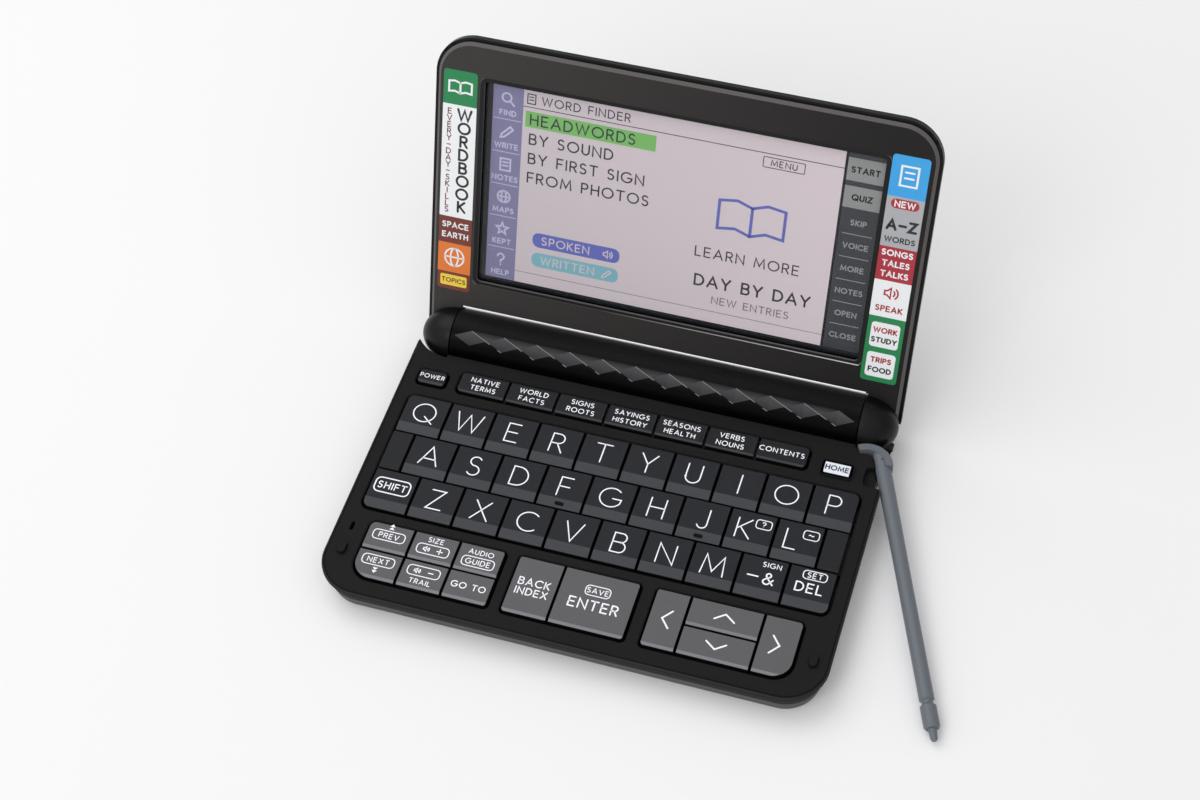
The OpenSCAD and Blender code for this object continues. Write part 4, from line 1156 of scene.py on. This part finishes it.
@dataclass
class LidDress:
    """The lid's inner frame, its rear cover and the two stickers beside the display."""

    lift: float = 0.04
    left: Box = (-71.2, 14.2, -60.9, 86.6)
    right: Box = (60.1, 13.6, 70.8, 86.8)
    window: Box = (-58.8, 18.8, 58.8, 84.6)
    slope: float = 1.2
    lip: Box = (-57.8, 17.6, 59.2, 17.94)
    bevel: Box = (-62.6, 8.95, 62.6, 9.37)
    corner: Point = (62.0, -84.81)
    section: tuple[Point, ...] = ((11.2, 3.8), (11.97, 3.8), (11.97, 5.8), (11.75, 6.05), (11.2, 6.05))
    turns: range = range(34, 57, 2)

    def build(self) -> None:
        """Dresses the lid, closes its corners and draws the stickers."""
        dress("lid_bezel", BEZEL)
        dress("lid_cover", LID)
        self._edges()
        self._corner_wall("lid_corner_wall_left", -1)
        self._corner_wall("lid_corner_wall_right", 1)
        self._left_sticker()
        self._right_sticker()

    def _edges(self) -> None:
        """Draws the painted shade on the slope round the window, the painted highlight on its lower lip and the painted
        highlight on the bevel above the barrel.
        """
        art = Drawing(on_lid, self.lift)
        x0, y0, x1, y1 = self.window
        half = self.slope / 2
        # Painted shade on the window's slopes.
        art.rim(x0 - half, y0 - half, x1 + half, y1 + half, self.slope + half, self.slope, RECESS_SHADE)
        # Painted highlight on the lower lip, brightest at the right.
        art.box(*self.lip, LIP_HIGHLIGHT, FIRST)
        # Painted highlight on the bevel above the barrel.
        art.box(*self.bevel, BEVEL_HIGHLIGHT)
        art.emit("lid_edges", "lid")

    def _corner_wall(self, name: str, side: int) -> None:
        """Closes the slot where the cover's square hollow meets its round top corner.

        Args:
            name: The wall's name.
            side: -1 for the left corner, 1 for the right one.
        """
        points = []
        for turn in map(math.radians, self.turns):
            for radius, z in self.section:
                x = side * (self.corner[0] + radius * math.cos(turn))
                y = self.corner[1] - radius * math.sin(turn)
                points.append(LID_TURN @ (Vector((x, y, z)) * MM))
        count = len(self.section)
        last = len(points) - count
        faces = [tuple(range(count)), tuple(range(last, len(points)))]
        for first in range(0, last, count):
            for a in range(count):
                b = (a + 1) % count
                faces.append((first + a, first + b, first + b + count, first + a + count))
        mesh = new_mesh(name, points, faces, LID)
        work = bmesh.new()
        work.from_mesh(mesh)
        bmesh.ops.recalc_face_normals(work, faces=work.faces)
        work.to_mesh(mesh)
        work.free()
        new_piece(name, mesh, "lid")

    def _column(self, art: Drawing, box: Box, bands: list[tuple[float, Ink]]) -> list[float]:
        """Fills a sticker with coloured bands from the top down.

        Args:
            art: The drawing.
            box: The sticker's left, bottom, right and top.
            bands: Height share and ink of each band.

        Returns:
            The lower edge of each band.
        """
        x0, y0, x1, y1 = box
        r = 1.0
        whole = sum(share for share, _ in bands)
        top = y1
        edges = []
        for i, (share, ink) in enumerate(bands):
            low = top - (y1 - y0) * share / whole
            if i == 0:
                outline = [(x0, low), (x1, low), *arc(x1 - r, top - r, r, r, 0, 90, 4),
                           *arc(x0 + r, top - r, r, r, 90, 180, 4)]
            elif i == len(bands) - 1:
                outline = [*arc(x0 + r, low + r, r, r, 180, 270, 4), *arc(x1 - r, low + r, r, r, 270, 360, 4),
                           (x1, top), (x0, top)]
            else:
                outline = [(x0, low), (x1, low), (x1, top), (x0, top)]
            art.area(outline, ink.value)
            edges.append(low)
            top = low
        return edges

    def _left_sticker(self) -> None:
        """Draws the sticker left of the display."""
        art = Drawing(on_lid, self.lift)
        green, _, head, globe, foot = self._column(art, self.left, [
            (11, Ink.STICK_GREEN), (37, Ink.STICK_WHITE), (9, Ink.STICK_BROWN), (10, Ink.STICK_ORANGE),
            (6, Ink.STICK_BROWN)])
        mid = (self.left[0] + self.left[2]) / 2
        white = Ink.STICK_WHITE.value
        brown = Ink.STICK_BROWN.value
        art.word("book", mid, green + 5.6, 4.6, 0.6, white, FIRST)
        art.stack("WORDBOOK", mid + 1.6, green - 0.8, 3.3, 0.72, Ink.STICK_BLACK.value, FIRST)
        art.stack("EVERY-DAY-SKILLS", mid - 3.0, green - 1.2, 1.65, 0.32, brown, FIRST)
        for i, text in enumerate(("SPACE", "EARTH")):
            art.word(text, mid, head + 6.2 - i * 3.4, 1.6, 0.4, white, FIRST)
        art.word("globe", mid, globe + 5.2, 6.0, 0.5, white, FIRST)
        art.box(mid - 4.2, foot + 1.3, mid + 4.2, foot + 5.0, Ink.STICK_YELLOW.value, FIRST, r=0.5)
        art.word("TOPICS", mid, foot + 3.15, 1.3, 0.32, brown, SECOND)
        art.emit("sticker_left", "lid")

    def _right_sticker(self) -> None:
        """Draws the sticker right of the display."""
        art = Drawing(on_lid, self.lift)
        blue, silver, songs, speak, green = self._column(art, self.right, [
            (13, Ink.STICK_BLUE), (16, Ink.STICK_SILVER), (11, Ink.STICK_RED), (12, Ink.STICK_WHITE),
            (22, Ink.STICK_GREEN)])
        mid = (self.right[0] + self.right[2]) / 2
        white, red, black = (ink.value for ink in (Ink.STICK_WHITE, Ink.STICK_RED, Ink.STICK_BLACK))
        art.word("note", mid, blue + 6.6, 6.0, 0.6, white, FIRST)
        art.box(mid - 4.0, silver + 12.2, mid + 4.0, silver + 15.2, red, FIRST, r=1.4)
        art.word("NEW", mid, silver + 13.7, 1.7, 0.4, white, SECOND)
        art.word("A-Z", mid, silver + 7.0, 2.8, 0.8, black, FIRST)
        art.word("WORDS", mid, silver + 2.4, 1.5, 0.36, black, FIRST)
        for i, text in enumerate(("SONGS", "TALES", "TALKS")):
            art.word(text, mid, songs + 9.0 - i * 3.4, 1.6, 0.42, white, FIRST)
        art.word("SPEAK", mid, speak + 2.8, 1.6, 0.42, red, FIRST)
        art.word("speaker", mid, speak + 8.0, 4.2, 0.5, red, FIRST)
        for y, upper, lower in ((green + 1.6, "TRIPS", "FOOD"), (green + 11.6, "WORK", "STUDY")):
            art.box(mid - 4.2, y, mid + 4.2, y + 8.2, white, FIRST, r=1.0)
            art.word(upper, mid, y + 5.7, 1.45, 0.42, red, SECOND)
            art.word(lower, mid, y + 2.4, 1.45, 0.42, black, SECOND)
        art.emit("sticker_right", "lid")


@dataclass
class Studio:
    """The floor, the lamps, the world and the camera."""

    eye: Solid = (128.432, -352.369, 547.542)
    ahead: Solid = (-0.21006, 0.56733, -0.79625)
    right: Solid = (0.95462, 0.29489, -0.04173)
    below: Solid = (0.21114, -0.76888, -0.60353)
    focus: float = 2270.629
    width: float = 1200.0
    sensor: float = 36.0
    reach: float = 3.0
    sky_from: Solid = (-0.25, -0.6, 0.76)
    sky: Box = (0.0, 0.98, 0.46, 1.02)
    lamps: tuple[tuple[str, Solid, float, float], ...] = (
        ("key_lamp", (-0.55, 0.25, 0.95), 0.9, 3.3), ("front_lamp", (-0.35, -0.85, 0.95), 0.5, 2.2))

    def build(self) -> None:
        """Sets up everything around the object."""
        self._floor()
        self._world()
        for lamp in self.lamps:
            self._lamp(*lamp)
        self._camera()
        bpy.context.scene.view_settings.view_transform = "Standard"

    def _floor(self) -> None:
        """Lays the pale floor under the feet."""
        signs = ((-1, -1), (1, -1), (1, 1), (-1, 1))
        points = [(x * self.reach, y * self.reach, FLOOR_Z * MM) for x, y in signs]
        new_piece("floor", new_mesh("floor", points, [(0, 1, 2, 3)], FLOOR))

    def _world(self) -> None:
        """Lights everything with a white sky that is brightest in front and above."""
        world = bpy.data.worlds.new("studio")
        bpy.context.scene.world = world
        world.use_nodes = True
        tree = world.node_tree
        place = add_node(tree, "ShaderNodeTexCoord", {})
        aim = along_axis(tree, place.outputs["Generated"], Vector(self.sky_from).normalized())
        feeds = dict(enumerate((aim, *self.sky)))
        spread = add_node(tree, "ShaderNodeMapRange", feeds, interpolation_type="SMOOTHSTEP")
        feed(tree, tree.nodes["Background"], {"Color": (1.0, 1.0, 1.0, 1.0), "Strength": spread.outputs[0]})

    def _lamp(self, name: str, place: Solid, size: float, power: float) -> None:
        """Hangs one soft square lamp aimed at the object.

        Args:
            name: The lamp's name.
            place: Its place in metres.
            size: Its side in metres.
            power: Its power in watts.
        """
        light = bpy.data.lights.new(name, "AREA")
        light.shape = "SQUARE"
        light.size = size
        light.energy = power
        lamp = new_piece(name, light)
        lamp.location = place
        lamp.rotation_euler = (-Vector(place)).to_track_quat("-Z", "Y").to_euler()

    def _camera(self) -> None:
        """Places the camera as fitted to the photograph."""
        data = bpy.data.cameras.new("camera")
        data.sensor_fit = "HORIZONTAL"
        data.sensor_width = self.sensor
        data.lens = self.focus / self.width * self.sensor
        data.clip_start = 0.01
        camera = new_piece("camera", data)
        turn = Matrix((Vector(self.right), -Vector(self.below), -Vector(self.ahead))).transposed().to_4x4()
        camera.matrix_world = Matrix.Translation(Vector(self.eye) * MM) @ turn
        bpy.context.scene.camera = camera


def main() -> None:
    """Builds the scene."""
    logging.basicConfig(level=logging.INFO, format="%(name)s: %(message)s")
    for part in (Shell(), Barrel(), Keyboard(), Display(), LidDress(), Studio()):
        part.build()
        LOG.info("built %s", type(part).__name__)


if __name__ == "__main__":
    main()
